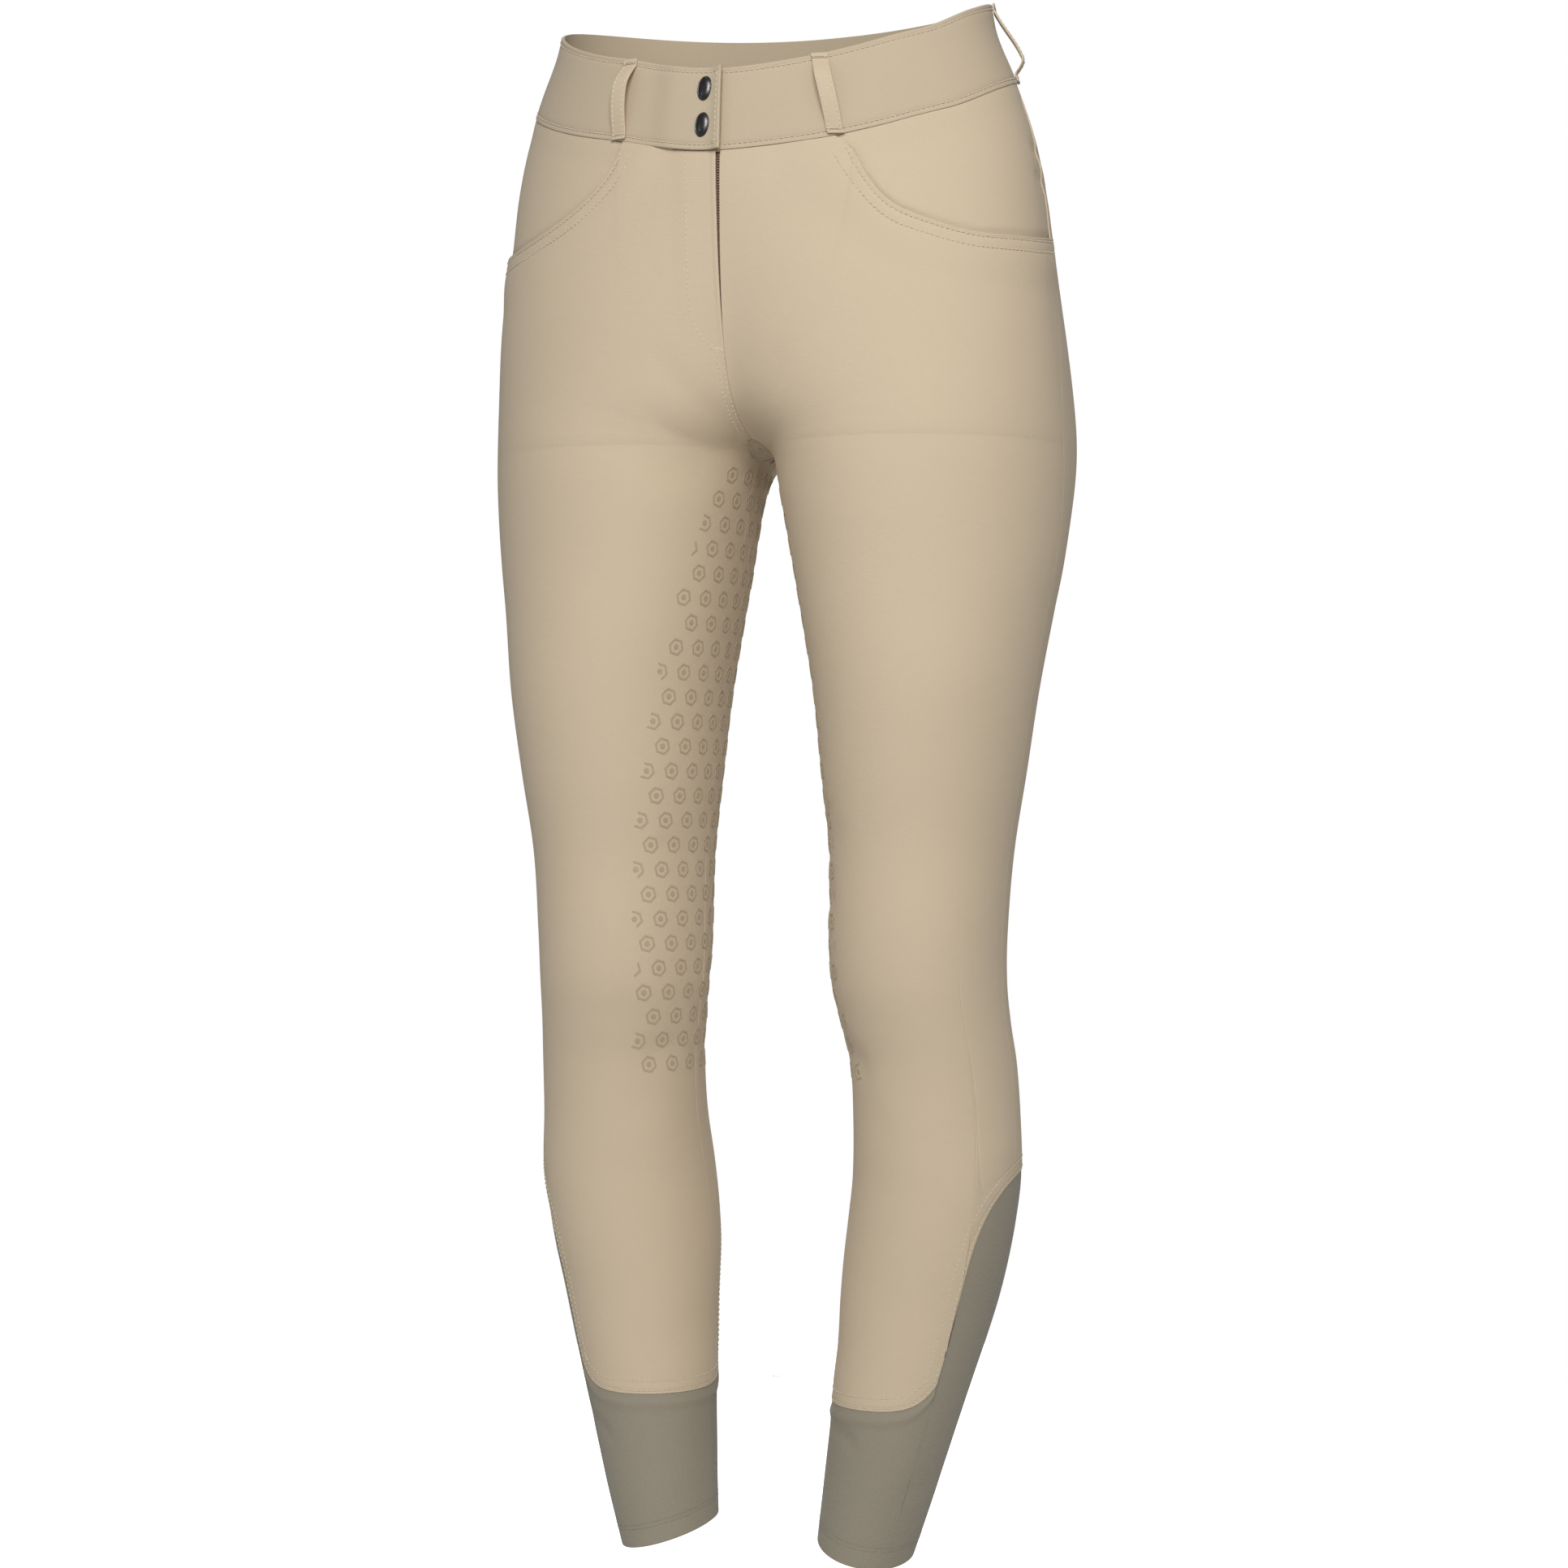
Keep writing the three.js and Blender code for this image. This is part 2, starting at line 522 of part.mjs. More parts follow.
// Belt loops: strips sewn down at both ends. Between its tabs a loop rises off the band on a quarter of
// a sine at each end.
function addBeltLoop(name, { round, standOff, upperBend, lowerBend }, mirrored = false) {
  const across = [-0.5, -0.17, 0.17, 0.5];
  const rows = 13;
  const line = Math.min(round, 2 - round);
  const top = waistTop(line) - 0.5;
  const bottom = waistSeam(line) + 0.5;
  const grid = Array.from({ length: rows }, (_, row) => across.map((place) => {
    const share = row / (rows - 1);
    const middle = settled({ round, z: mix(top, bottom, share) }, mirrored);
    const before = formPoint(middle.round - 0.01, middle.z);
    const after = formPoint(middle.round + 0.01, middle.z);
    const at = middle.round + place * LOOP_WIDTH * 0.02 / after.distanceTo(before);
    const point = formPoint(at, middle.z);
    const onLeft = at > 1 ? new THREE.Vector3(-point.x, point.y, point.z) : point;
    const normal = formNormal(onLeft);
    if (at > 1) normal.x = -normal.x;
    const tab = LOOP_TAB / BAND_HEIGHT;
    const along = clamp((share - tab) / (1 - 2 * tab), 0, 1);
    const leave = Math.sin(Math.PI / 2 * Math.min(along / upperBend, 1));
    const land = Math.sin(Math.PI / 2 * Math.min((1 - along) / lowerBend, 1));
    const lift = BAND_LIFT + SEAM_GAP + LOOP_WALL + standOff * leave * land;
    return { point: point.addScaledVector(normal, lift), normal };
  }));
  addPiece(name, wallGeometry(grid, LOOP_WALL, false, mirrored), cloth);
}

// Snap caps: low oval domes on the lapped end of the band, leaning a little
function addSnap(name, place) {
  const radius = SNAP_HEIGHT / 2;
  const profile = [
    new THREE.Vector2(0, 0),
    new THREE.Vector2(radius, 0),
    new THREE.Vector2(radius, 0.5 * SNAP_DOME),
    new THREE.Vector2(0.9 * radius, 0.85 * SNAP_DOME),
    new THREE.Vector2(0.6 * radius, SNAP_DOME),
    new THREE.Vector2(0, 0.8 * SNAP_DOME),
  ];
  const geometry = new THREE.LatheGeometry(profile, 24);
  geometry.scale(SNAP_WIDTH / SNAP_HEIGHT, 1, 1);
  const { round, z } = settled(place, true);
  const point = formPoint(round, z);
  const normal = formNormal(point);
  const up = new THREE.Vector3(0, 0, 1).addScaledVector(normal, -normal.z).normalize();
  up.applyAxisAngle(normal, SNAP_TILT);
  const across = normal.clone().cross(up);
  const seat = BAND_LIFT + LAP_LIFT + SEAM_GAP;
  const frame = new THREE.Matrix4().makeBasis(across, normal, up);
  frame.setPosition(point.addScaledVector(normal, seat));
  geometry.applyMatrix4(frame);
  const mirror = new THREE.Matrix4().makeScale(-1, 1, 1);
  geometry.applyMatrix4(mirror);
  const corners = geometry.index.array;
  for (let i = 0; i < corners.length; i += 3) {
    const keep = corners[i];
    corners[i] = corners[i + 1];
    corners[i + 1] = keep;
  }
  addPiece(name, geometry, darkMetal);
}

// Ankle cuffs: jersey tubes with a rounded tongue up the outer back of the calf
function addCuff(name, mirrored) {
  const rounds = [
    ...FRONT_COLUMNS.map((share) => mix(-1, 0, share)),
    ...BACK_COLUMNS.slice(1),
  ];
  const rows = 7;
  const place = (column, row) => {
    const round = rounds[column];
    const z = mix(cuffSeam(round), hemEdge(round), row / (rows - 1));
    return { round, z, lift: -CUFF_SINK };
  };
  const grid = layGrid(rounds.length, rows, place);
  trimEdges(grid, { top: () => CUFF_EASE, ring: true });
  addPiece(name, wallGeometry(grid, CUFF_WALL, true, mirrored), jersey);
}

for (const mirrored of [true, false]) {
  const side = mirrored ? 'right' : 'left';
  addFront(`front_${side}`, mirrored);
  addBack(`back_${side}`, mirrored);
  addFacing(`pocket_facing_${side}`, mirrored);
  addWaistband(`waistband_${side}`, mirrored);
  addBeltLoop(`belt_loop_front_${side}`, FRONT_LOOP, mirrored);
  addBeltLoop(`belt_loop_side_${side}`, SIDE_LOOP, mirrored);
  addCuff(`cuff_${side}`, mirrored);
}
addBeltLoop('belt_loop_back', BACK_LOOP);
addUnderlap('fly_underlap');
addSnap('snap_upper', UPPER_SNAP);
addSnap('snap_lower', LOWER_SNAP);

export default breeches;
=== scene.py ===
"""Looks for a pair of riding breeches, laid out as a Blender add-on and run as a script.

Lengths in the tables and functions are millimetres, and each mesh is written in metres.
Left and right are the wearer's: +X is the wearer's left, -Y the front and +Z up.
"""

import math

import bpy
import numpy as np
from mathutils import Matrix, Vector


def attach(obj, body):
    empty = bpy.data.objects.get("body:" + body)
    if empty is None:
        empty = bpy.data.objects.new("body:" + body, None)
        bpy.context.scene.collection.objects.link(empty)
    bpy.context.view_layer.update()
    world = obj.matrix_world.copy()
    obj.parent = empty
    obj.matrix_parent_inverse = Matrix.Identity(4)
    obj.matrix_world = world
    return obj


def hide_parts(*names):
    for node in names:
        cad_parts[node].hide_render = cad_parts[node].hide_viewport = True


bl_info = {
    "name": "Riding Breeches",
    "version": (1, 0, 0),
    "blender": (4, 5, 0),
    "location": "View3D > Sidebar > Breeches",
    "description": "Stretch riding breeches in worn form, with sewing, fittings and grip print",
    "category": "Add Mesh",
}

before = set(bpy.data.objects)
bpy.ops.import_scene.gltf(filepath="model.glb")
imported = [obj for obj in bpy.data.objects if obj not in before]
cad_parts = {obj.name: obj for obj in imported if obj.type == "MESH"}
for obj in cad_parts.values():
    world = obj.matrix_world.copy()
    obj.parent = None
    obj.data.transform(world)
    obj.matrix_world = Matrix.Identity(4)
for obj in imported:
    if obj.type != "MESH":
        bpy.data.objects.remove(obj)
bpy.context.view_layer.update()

MM = 0.001
LEFT, RIGHT = 1, -1
SIDE_NAMES = {LEFT: "left", RIGHT: "right"}

# Shape of the cloth, with the same sizes as the solids
CLOTH_WALL = 1.2
CUFF_WALL = 1.0
BAND_WALL = 2.0
LOOP_WALL = 1.6
SEAM_GAP = 0.3
BAND_HEIGHT = 50
BAND_LIFT = 0.6
LAP_LIFT = 2.4
LAP_END = 0.015
LAP_FULL = -0.892
LAP_OVER = -0.816
WAIST_BACK_Z = 9
WAIST_DIP = 58
WAIST_DIP_POWER = 2.4
CROTCH_Z = -272
CROTCH_ROUNDING = 10
THIGH_BLEND = 24
THIGH_BLEND_REACH = 60
FRONT_FULLNESS = 0.04
SIDE_SEAM_BACKWARD = 0.08
SIDE_SEAM_LOW_Z = -270
SIDE_SEAM_HIGH_Z = -143
POCKET_START = -0.745
POCKET_LOWEST = -0.25
POCKET_DEPTH = 57
POCKET_END_RISE = 6.6
POCKET_STEP = 1.6
POCKET_STEP_FLAT = 13
POCKET_STEP_FADE = 22
POCKET_STEP_LOWEST_Z = -230
FLY_TOP_Z = -99
FLY_BOTTOM_Z = -212
FLY_GAP = 1.6
FLY_WIDTH = 20
FLY_CURVE_RISE = 26
FLY_CURVE_DROP = 31
UNDERLAP_GAP = 0.8
CUFF_SEAM_Z = -857
CUFF_SINK = 0.5
TONGUE_MIDDLE = 0.28
TONGUE_HALF_WIDTH = 0.515
TONGUE_FOOT = 16
TONGUE_RISE = 126
TONGUE_FLARE = 8.5
HEM_Z = -946
HEM_SLANT = 8
HEM_HIGHEST = 0.85
LEG_TOP_Z = -200
LEG_LOW_Z = -700
RIGHT_HITCH = 6.5
LEFT_DRAW = 0.02
LEFT_POCKET_DRAW = 0.04
LEFT_SINK = 1.6

# Rough length of cloth that one unit of the place round takes
ROUND_SCALE = 200

# Rows of stitches by their way from the edge, and half width of the groove that they draw
MOUTH_ROWS = (2.2, 8.8)
CUFF_SEAM_ROWS = (2.0, 8.0)
HEM_ROWS = (11.0, 13.5)
BAND_ROW = 3.2
GROOVE = 0.9

# Sections of one leg half at heights z: farthest point outward and inward, foremost and rearmost
# point, y of the widest line, fullness of the back, and backward lean of the widest line
SECTION_COLUMNS = ("z", "outer", "inner", "front", "back", "middle", "full", "lean")
SECTIONS = np.array([
    (15, 137, -137, -95, 86, -7, 0.05, 0),
    (-15, 141.5, -143, -97, 92, -8, 0.05, 0),
    (-45, 153.5, -156, -99, 101, -8, 0.05, 0),
    (-75, 164, -166, -102, 111, -8, 0.08, 0),
    (-105, 171, -168, -104, 118, -7, 0.1, 0),
    (-140, 175, -130, -103, 124, -7, 0.14, 0),
    (-175, 179, -90, -102, 128, -9, 0.18, 0),
    (-208, 182, -58, -101, 129, -9, 0.22, 2),
    (-240, 184, -26, -100, 126, -7, 0.25, 5),
    (-262, 185, 0, -99, 120, -6, 0.25, 7),
    (-272, 185.5, 10, -99, 116, -6, 0.24, 8),
    (-284, 185.5, 14, -98, 109, -6, 0.2, 9),
    (-300, 185, 16.5, -98, 100, -6, 0.15, 9),
    (-320, 183.5, 19, -96, 92, -6, 0.1, 8),
    (-345, 180.5, 22, -94, 87, -6, 0.06, 6),
    (-370, 176.5, 26, -93, 81, -7.5, 0.04, 4),
    (-420, 169.5, 34, -91, 68, -11.5, 0.04, 0),
    (-470, 162.5, 39, -85.5, 59.5, -13, 0.04, 0),
    (-520, 155, 43.5, -79, 52, -13.5, 0.04, 0),
    (-570, 151.5, 44, -78, 47, -15, 0.04, 0),
    (-600, 151, 45.5, -75, 46, -14, 0.04, 0),
    (-625, 152, 50, -68, 50, -10, 0.04, 0),
    (-650, 154, 54, -61, 56, -5, 0.04, 0),
    (-685, 155, 54.5, -56, 63, -2, 0.04, 0),
    (-720, 155.5, 52, -53.5, 68.5, 1, 0.04, -3),
    (-745, 152.5, 49, -53, 67, 2, 0.04, -3),
    (-770, 148, 46.5, -52.5, 63.5, 1, 0.04, -2),
    (-795, 142, 45.5, -52, 58, -1, 0.04, 0),
    (-820, 135, 45, -52.5, 51, -4, 0.04, 0),
    (-845, 127.5, 43, -53.5, 43.5, -8, 0.04, 0),
    (-870, 120, 41.5, -55, 35.5, -11, 0.04, 0),
    (-895, 112.5, 39.5, -56.5, 28.5, -14, 0.04, 0),
    (-920, 105, 37.5, -58, 22, -17, 0.04, 0),
    (-960, 92, 34, -59.5, 14, -21, 0.04, 0),
])

# Soft folds of the cloth: on which side (0 both), from and to (place round, height), width and depth.
# A negative depth is a ridge.
FOLDS = np.array([
    (0, -0.82, -214, -0.94, -256, 8, 0.8),
    (-1, -0.74, -246, -0.86, -290, 8, 0.6),
    (1, -0.74, -232, -0.92, -287, 10, 0.8),
    (-1, -0.60, -262, -0.82, -300, 12, 0.4),
    (1, -0.95, -514, -0.74, -490, 3.5, 1.1),
    (1, -0.92, -530, -0.68, -502, 6, 0.8),
    (1, -0.96, -560, -0.74, -544, 7, 0.9),
    (-1, -0.95, -530, -0.76, -512, 7, 0.9),
    (1, -0.86, -636, -0.66, -652, 10, 1.6),
    (-1, -0.90, -640, -0.72, -650, 10, 1.2),
    (0, -0.80, -676, -0.55, -690, 13, 0.6),
    (0, 0.55, -590, 0.93, -604, 9, 1.5),
    (1, 0.42, -618, 0.86, -628, 8, 1.3),
    (-1, 0.50, -622, 0.92, -616, 8, 1.4),
    (0, 0.60, -652, 0.90, -642, 10, 1.0),
    (1, 0.50, -570, 0.80, -562, 10, 0.8),
    (-1, 0.45, -576, 0.78, -560, 9, 0.9),
    (0, 0.96, -262, 0.70, -300, 9, 1.4),
    (1, 0.93, -286, 0.60, -326, 10, 1.1),
    (-1, 0.92, -292, 0.64, -318, 9, 1.2),
    (0, 0.80, -236, 0.50, -256, 14, 0.7),
    (1, 0.00, -90, 0.14, -95, 4, 1.4),
    (0, -0.02, -108, 0.15, -114, 4.5, 1.5),
    (-1, 0.00, -126, 0.14, -131, 4, 1.2),
    (1, -0.80, -872, -0.56, -880, 5, 1.3),
    (-1, -0.40, -886, -0.16, -874, 5, 1.1),
    (0, 0.20, -880, 0.60, -870, 8, 1.2),
    (0, 0.30, -906, 0.75, -914, 8, 0.8),
    (1, -0.30, -912, -0.02, -902, 8, 0.6),
])

# Height, front edge and back edge of the grip print
GRIP_EDGES = np.array([
    (-98, 1.00, 0.74),
    (-130, 1.00, 0.56),
    (-180, 1.00, 0.45),
    (-240, 1.00, 0.39),
    (-262, -0.955, 0.38),
    (-296, -0.86, 0.37),
    (-336, -0.805, 0.38),
    (-385, -0.762, 0.41),
    (-435, -0.728, 0.45),
    (-485, -0.69, 0.49),
    (-545, -0.672, 0.54),
    (-595, -0.67, 0.57),
    (-666, -0.676, 0.60),
])


# Plain sums

def mix(a, b, t):
    """The value a share t of the way from a to b."""
    return a + (b - a) * t


def ease(t):
    """A smooth step from 0 to 1: three times the square of t less twice its cube."""
    s = np.clip(t, 0, 1)
    return s * s * (3 - 2 * s)


def unit(vectors):
    """The vectors divided by their lengths."""
    return vectors / np.maximum(np.linalg.norm(vectors, axis=-1, keepdims=True), 1e-12)


# The form that the cloth is laid on

def section(column, z):
    """One column of SECTIONS at height z: a cubic through two rows whose slope at each row is
    that of the line through its two neighbours."""
    heights = SECTIONS[:, 0]
    values = SECTIONS[:, SECTION_COLUMNS.index(column)]
    last = len(heights) - 1
    z = np.clip(z, heights[-1], heights[0])
    i = np.clip(np.searchsorted(-heights, -z, side="right") - 1, 0, last - 1)
    before = np.maximum(np.arange(last + 1) - 1, 0)
    after = np.minimum(np.arange(last + 1) + 1, last)
    slopes = (values[after] - values[before]) / (heights[after] - heights[before])
    step = heights[i + 1] - heights[i]
    t = (z - heights[i]) / step
    return (values[i] * (1 + 2 * t) * (1 - t) ** 2 + values[i + 1] * t * t * (3 - 2 * t)
            + step * slopes[i] * t * (1 - t) ** 2 - step * slopes[i + 1] * t * t * (1 - t))


def section_at(z):
    """Everything that the closed section at height z needs, as a dictionary of arrays."""
    outer, inner = section("outer", z), section("inner", z)
    join = CROTCH_ROUNDING * ease((-100 - z) / 80) * (1 - ease((-290 - z) / 110))
    return {
        "centre": (outer + inner) / 2, "half": (outer - inner) / 2,
        "front": section("front", z), "back": section("back", z),
        "middle": section("middle", z), "full": section("full", z),
        "lean": section("lean", z), "join": join,
    }


def ring_point(round_, z):
    """x and y on the closed section. The section is an ellipse, fuller at the back, with a turn
    that runs from 0 at the outer side to its limit at the middle plane. There the square root of
    the distance squared less the rounding squared lets the two halves run into each other."""
    s = section_at(z)
    reach = np.arccos(np.clip((s["join"] - s["centre"]) / s["half"], -1, 1))
    sine = np.sin(reach)
    bend = s["join"] * sine / np.maximum(
        s["join"] * np.abs(np.cos(reach)) + s["half"] * sine ** 2, 1e-9)
    away = 1 - np.abs(round_)
    turn = np.sqrt(bend ** 2 + away ** 2 * (reach ** 2 + 2 * bend * reach)) - bend
    angle = reach - turn
    along = s["centre"] + s["half"] * np.cos(angle)
    depth = np.where(round_ > 0, s["back"] - s["middle"], s["middle"] - s["front"])
    fullness = np.where(round_ > 0, s["full"], FRONT_FULLNESS)
    swell = 1 + fullness * np.cos(angle) ** 2
    x = np.sqrt(np.maximum(along ** 2 - s["join"] ** 2, 0))
    y = s["middle"] + s["lean"] * np.cos(angle) + np.sign(round_) * depth * np.sin(angle) * swell
    return x, y


def form_point(round_, z):
    """Points of the form on the wearer's left, in mm. Away from the middle, the sections near the
    crotch are a weighted mean of five heights, so that the thigh has no step there. A place past
    -1 or 1 lies on the other half."""
    round_, z = np.broadcast_arrays(np.asarray(round_, float), np.asarray(z, float))
    over = np.abs(round_) > 1
    inside = np.where(over, 2 * np.sign(round_) - round_, round_)
    near = ease(1.6 - np.abs(z - CROTCH_Z) / THIGH_BLEND_REACH)
    reach = THIGH_BLEND * ease((0.9 - np.abs(inside)) / 0.35) * near
    x, y = 0, 0
    for share, weight in ((-1, 1), (-0.5, 2), (0, 2), (0.5, 2), (1, 1)):
        px, py = ring_point(inside, z + share * reach)
        x = x + weight / 8 * px
        y = y + weight / 8 * py
    return np.stack([np.where(over, -x, x), y, z], -1)


def form_field(points):
    """Below 0 inside the form and above 0 outside: the ellipse's own equation, less one."""
    x, y, z = points[..., 0], points[..., 1], points[..., 2]
    s = section_at(z)
    across = (np.sqrt(x * x + s["join"] ** 2) - s["centre"]) / s["half"]
    axis = s["middle"] + s["lean"] * across
    depth = np.where(y > axis, s["back"] - s["middle"], s["middle"] - s["front"])
    fullness = np.where(y > axis, s["full"], FRONT_FULLNESS)
    return ((y - axis) / (depth * (1 + fullness * across ** 2))) ** 2 + across ** 2 - 1


def form_normal(points):
    """Outward directions: the slope of the field along each axis, made one long."""
    steps = 0.05 * np.eye(3)
    return unit(np.stack([form_field(points + s) - form_field(points - s) for s in steps], -1))


def settled(round_, z, side):
    """Where the worn cloth has settled on the form: the right hip is hitched up, and on the left the
    front belt loop and the pocket's start are drawn backward and the pocket mouth sags a little. Past
    the middle plane the other half's rule holds."""
    round_, z = np.broadcast_arrays(np.asarray(round_, float), np.asarray(z, float))
    over = np.abs(round_) > 1
    inside = np.where(over, 2 * np.sign(round_) - round_, round_)
    on_right = over != (side == RIGHT)
    high = ease((z + 230) / 100)
    right_rise = RIGHT_HITCH * ease((inside + 1) / 0.3) * (1 - ease((inside + 0.4) / 1.4)) * high
    left_rise = -LEFT_SINK * ease((inside + 0.545) / 0.2) * (1 - ease((inside + 0.4) / 0.25)) * high
    aside = ease((inside + 1) / 0.25) * (1 - ease((inside + 0.7) / 0.4))
    aside = aside * ease((-40 - z) / 55) * ease((z + 160) / 60)
    pocket = ease((inside + 0.86) / 0.12) * (1 - ease((inside + 0.74) / 0.2))
    pocket = pocket * ease((-90 - z) / 14) * ease((z + 210) / 70)
    moved = inside + np.where(on_right, 0, LEFT_DRAW * aside + LEFT_POCKET_DRAW * pocket)
    return np.where(over, 2 * np.sign(round_) - moved, moved), z + np.where(on_right, right_rise, left_rise)


def mm_per_round(round_, z):
    """How many mm of cloth one unit of the place round takes."""
    step = 0.004
    apart = form_point(np.minimum(round_ + step, 1), z) - form_point(np.maximum(round_ - step, -1), z)
    places = np.minimum(round_ + step, 1) - np.maximum(round_ - step, -1)
    return np.linalg.norm(apart, axis=-1) / places


# Lines on the form, each a height for a place round

def waist_top(round_):
    """Top edge of the waistband: a raised cosine to a power, lowest at the centre front."""
    turned = (1 + np.cos((1 + np.asarray(round_)) * np.pi / 2)) / 2
    return WAIST_BACK_Z - WAIST_DIP * turned ** WAIST_DIP_POWER


def waist_seam(round_):
    """The seam under the waistband."""
    return waist_top(round_) - BAND_HEIGHT


def pocket_mouth(round_):
    """The scooped mouth: a quarter of an ellipse, then a shallow parabola up to the side seam."""
    start = waist_seam(POCKET_START)
    share = np.clip((POCKET_LOWEST - round_) / (POCKET_LOWEST - POCKET_START), 0, 1)
    scoop = start - POCKET_DEPTH * np.sqrt(1 - share ** 2)
    rise = (round_ - POCKET_LOWEST) / (SIDE_SEAM_BACKWARD - POCKET_LOWEST)
    return np.where(round_ > POCKET_LOWEST, start - POCKET_DEPTH + POCKET_END_RISE * rise ** 2, scoop)


def front_top(round_):
    """Top of a front panel: the waist seam, then the pocket mouth."""
    return np.where(round_ <= POCKET_START, waist_seam(round_), pocket_mouth(round_))


def side_seam(z):
    """Place round of the side seam, which runs a little backward over the hip."""
    return SIDE_SEAM_BACKWARD * ease((z - SIDE_SEAM_LOW_Z) / (SIDE_SEAM_HIGH_Z - SIDE_SEAM_LOW_Z))


def cuff_seam(round_):
    """The seam over the cuff: a tongue with the outline of a superellipse, and flared feet."""
    straight = np.abs(round_ - TONGUE_MIDDLE)
    apart = np.minimum(straight, 2 - straight) / TONGUE_HALF_WIDTH
    tongue = TONGUE_FOOT + TONGUE_RISE * np.maximum(1 - apart ** 4, 0) ** 0.25
    return CUFF_SEAM_Z + np.where(apart < 1, tongue, TONGUE_FOOT * np.exp(-(apart - 1) * TONGUE_FLARE))


def hem_edge(round_):
    """The hem, a little higher at the inner back."""
    return HEM_Z + HEM_SLANT * np.cos((round_ - HEM_HIGHEST) * np.pi)


# How far the cloth stands off the form

def way_to_mouth(round_, z):
    """Shortest way in mm from a place to the pocket mouth's line."""
    mouth = np.linspace(POCKET_START, SIDE_SEAM_BACKWARD, 121)
    here = form_point(round_, z)
    nearest = np.full(here.shape[:-1], np.inf)
    for point in form_point(mouth, pocket_mouth(mouth)):
        nearest = np.minimum(nearest, np.linalg.norm(here - point, axis=-1))
    return nearest


def pocket_step(round_, z):
    """The front panel's rise over the pocket facing: level beside the mouth, then eased away."""
    step = POCKET_STEP * (1 - ease((way_to_mouth(round_, z) - POCKET_STEP_FLAT) / POCKET_STEP_FADE))
    return np.where(z < POCKET_STEP_LOWEST_Z, 0, step)


def folds(round_, z, side):
    """Soft folds: each is a bell curve across a straight line on the cloth that fades out towards
    both of its ends, plus a slow unevenness from a few long waves."""
    lift = 0.22 * np.sin(z / 61 + side) * np.sin(round_ * 7.3 + 1.1 * side)
    lift = lift + 0.16 * np.sin(z / 37 + 2.1 * side) * np.cos(round_ * 11.7)
    for which, round_a, z_a, round_b, z_b, width, depth in FOLDS:
        if which not in (0, side):
            continue
        length = math.hypot((round_b - round_a) * ROUND_SCALE, z_b - z_a)
        u, v = (round_b - round_a) * ROUND_SCALE / length, (z_b - z_a) / length
        dx, dz = (round_ - round_a) * ROUND_SCALE, z - z_a
        share = (dx * u + dz * v) / length
        bow = 0.06 * length * np.sin(np.pi * np.clip(share, 0, 1))
        aside = dz * u - dx * v - bow
        fade = np.exp(-np.abs((share - 0.5) / 0.45) ** 4)
        lift = lift - depth * fade * np.exp(-(aside / width) ** 2)
    return lift


def front_lift(round_, z, side):
    """Lift of a front panel. The wearer's right one has its fly edge raised a little."""
    lift = folds(round_, z, side) + pocket_step(round_, z)
    if side == RIGHT:
        apart = (round_ + 1) * mm_per_round(round_, z)
        high = ease((z - FLY_BOTTOM_Z) / 30)
        raised = 0.7 * (1 - ease((apart - FLY_WIDTH) / 9)) + 0.4 * (1 - ease((apart - 2.2) / 0.7))
        lift = lift + high * raised
    return lift


def facing_lift(round_, z, side):
    """Lift of a pocket facing, which sinks from the waist seam to lie under the front panel's edge,
    with a bell curve's dip beside that edge."""
    sunk = 0.8 * ease((waist_seam(round_) - z) / 16)
    return folds(round_, z, side) - sunk - 1.8 * np.exp(-(way_to_mouth(round_, z) / 1.8) ** 2)


def band_lift(round_, z, side):
    """Lift of the waistband. The wearer's right end laps over the left one."""
    lift = BAND_LIFT + 0.15 * np.sin(round_ * 17 + side) * np.sin(z / 17)
    if side == RIGHT:
        lap = 1 - ease((round_ - LAP_FULL) / (LAP_OVER - LAP_FULL))
        curl = ease(1 - (round_ + 1 + LAP_END) / 0.05)
        lift = lift + LAP_LIFT * lap + 3.4 * curl ** 2
    return lift


def cuff_lift(round_, z, side):
    """Lift of a cuff: folds, and a soft roll of jersey just under the seam."""
    under = cuff_seam(round_) - z
    roll = 1.1 * np.exp(-((under - 6) / 3.2) ** 2) * ease((-820 - z) / 30)
    return folds(round_, z, side) - CUFF_SINK + roll


# Meshes

def write_mesh(name, points, faces, material, smooth=True, uv=None):
    """A mesh object at the origin from points in mm and faces as an array of corner numbers. The
    uv rows, one for each corner, are metres along the cloth."""
    mesh = bpy.data.meshes.new(name)
    faces = np.asarray(faces, np.int32)
    sides = faces.shape[1]
    mesh.vertices.add(len(points))
    mesh.vertices.foreach_set("co", (np.asarray(points, float) * MM).ravel())
    mesh.loops.add(faces.size)
    mesh.loops.foreach_set("vertex_index", faces.ravel())
    mesh.polygons.add(len(faces))
    mesh.polygons.foreach_set("loop_start", np.arange(len(faces), dtype=np.int32) * sides)
    mesh.polygons.foreach_set("loop_total", np.full(len(faces), sides, np.int32))
    mesh.polygons.foreach_set("use_smooth", np.full(len(faces), smooth))
    if uv is not None:
        layer = mesh.uv_layers.new(name="cloth")
        layer.data.foreach_set("uv", np.asarray(uv, float).ravel())
    mesh.update(calc_edges=True)
    mesh.validate()
    piece = bpy.data.objects.new(name, mesh)
    bpy.context.scene.collection.objects.link(piece)
    mesh.materials.append(material)
    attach(piece, "root")
    return piece


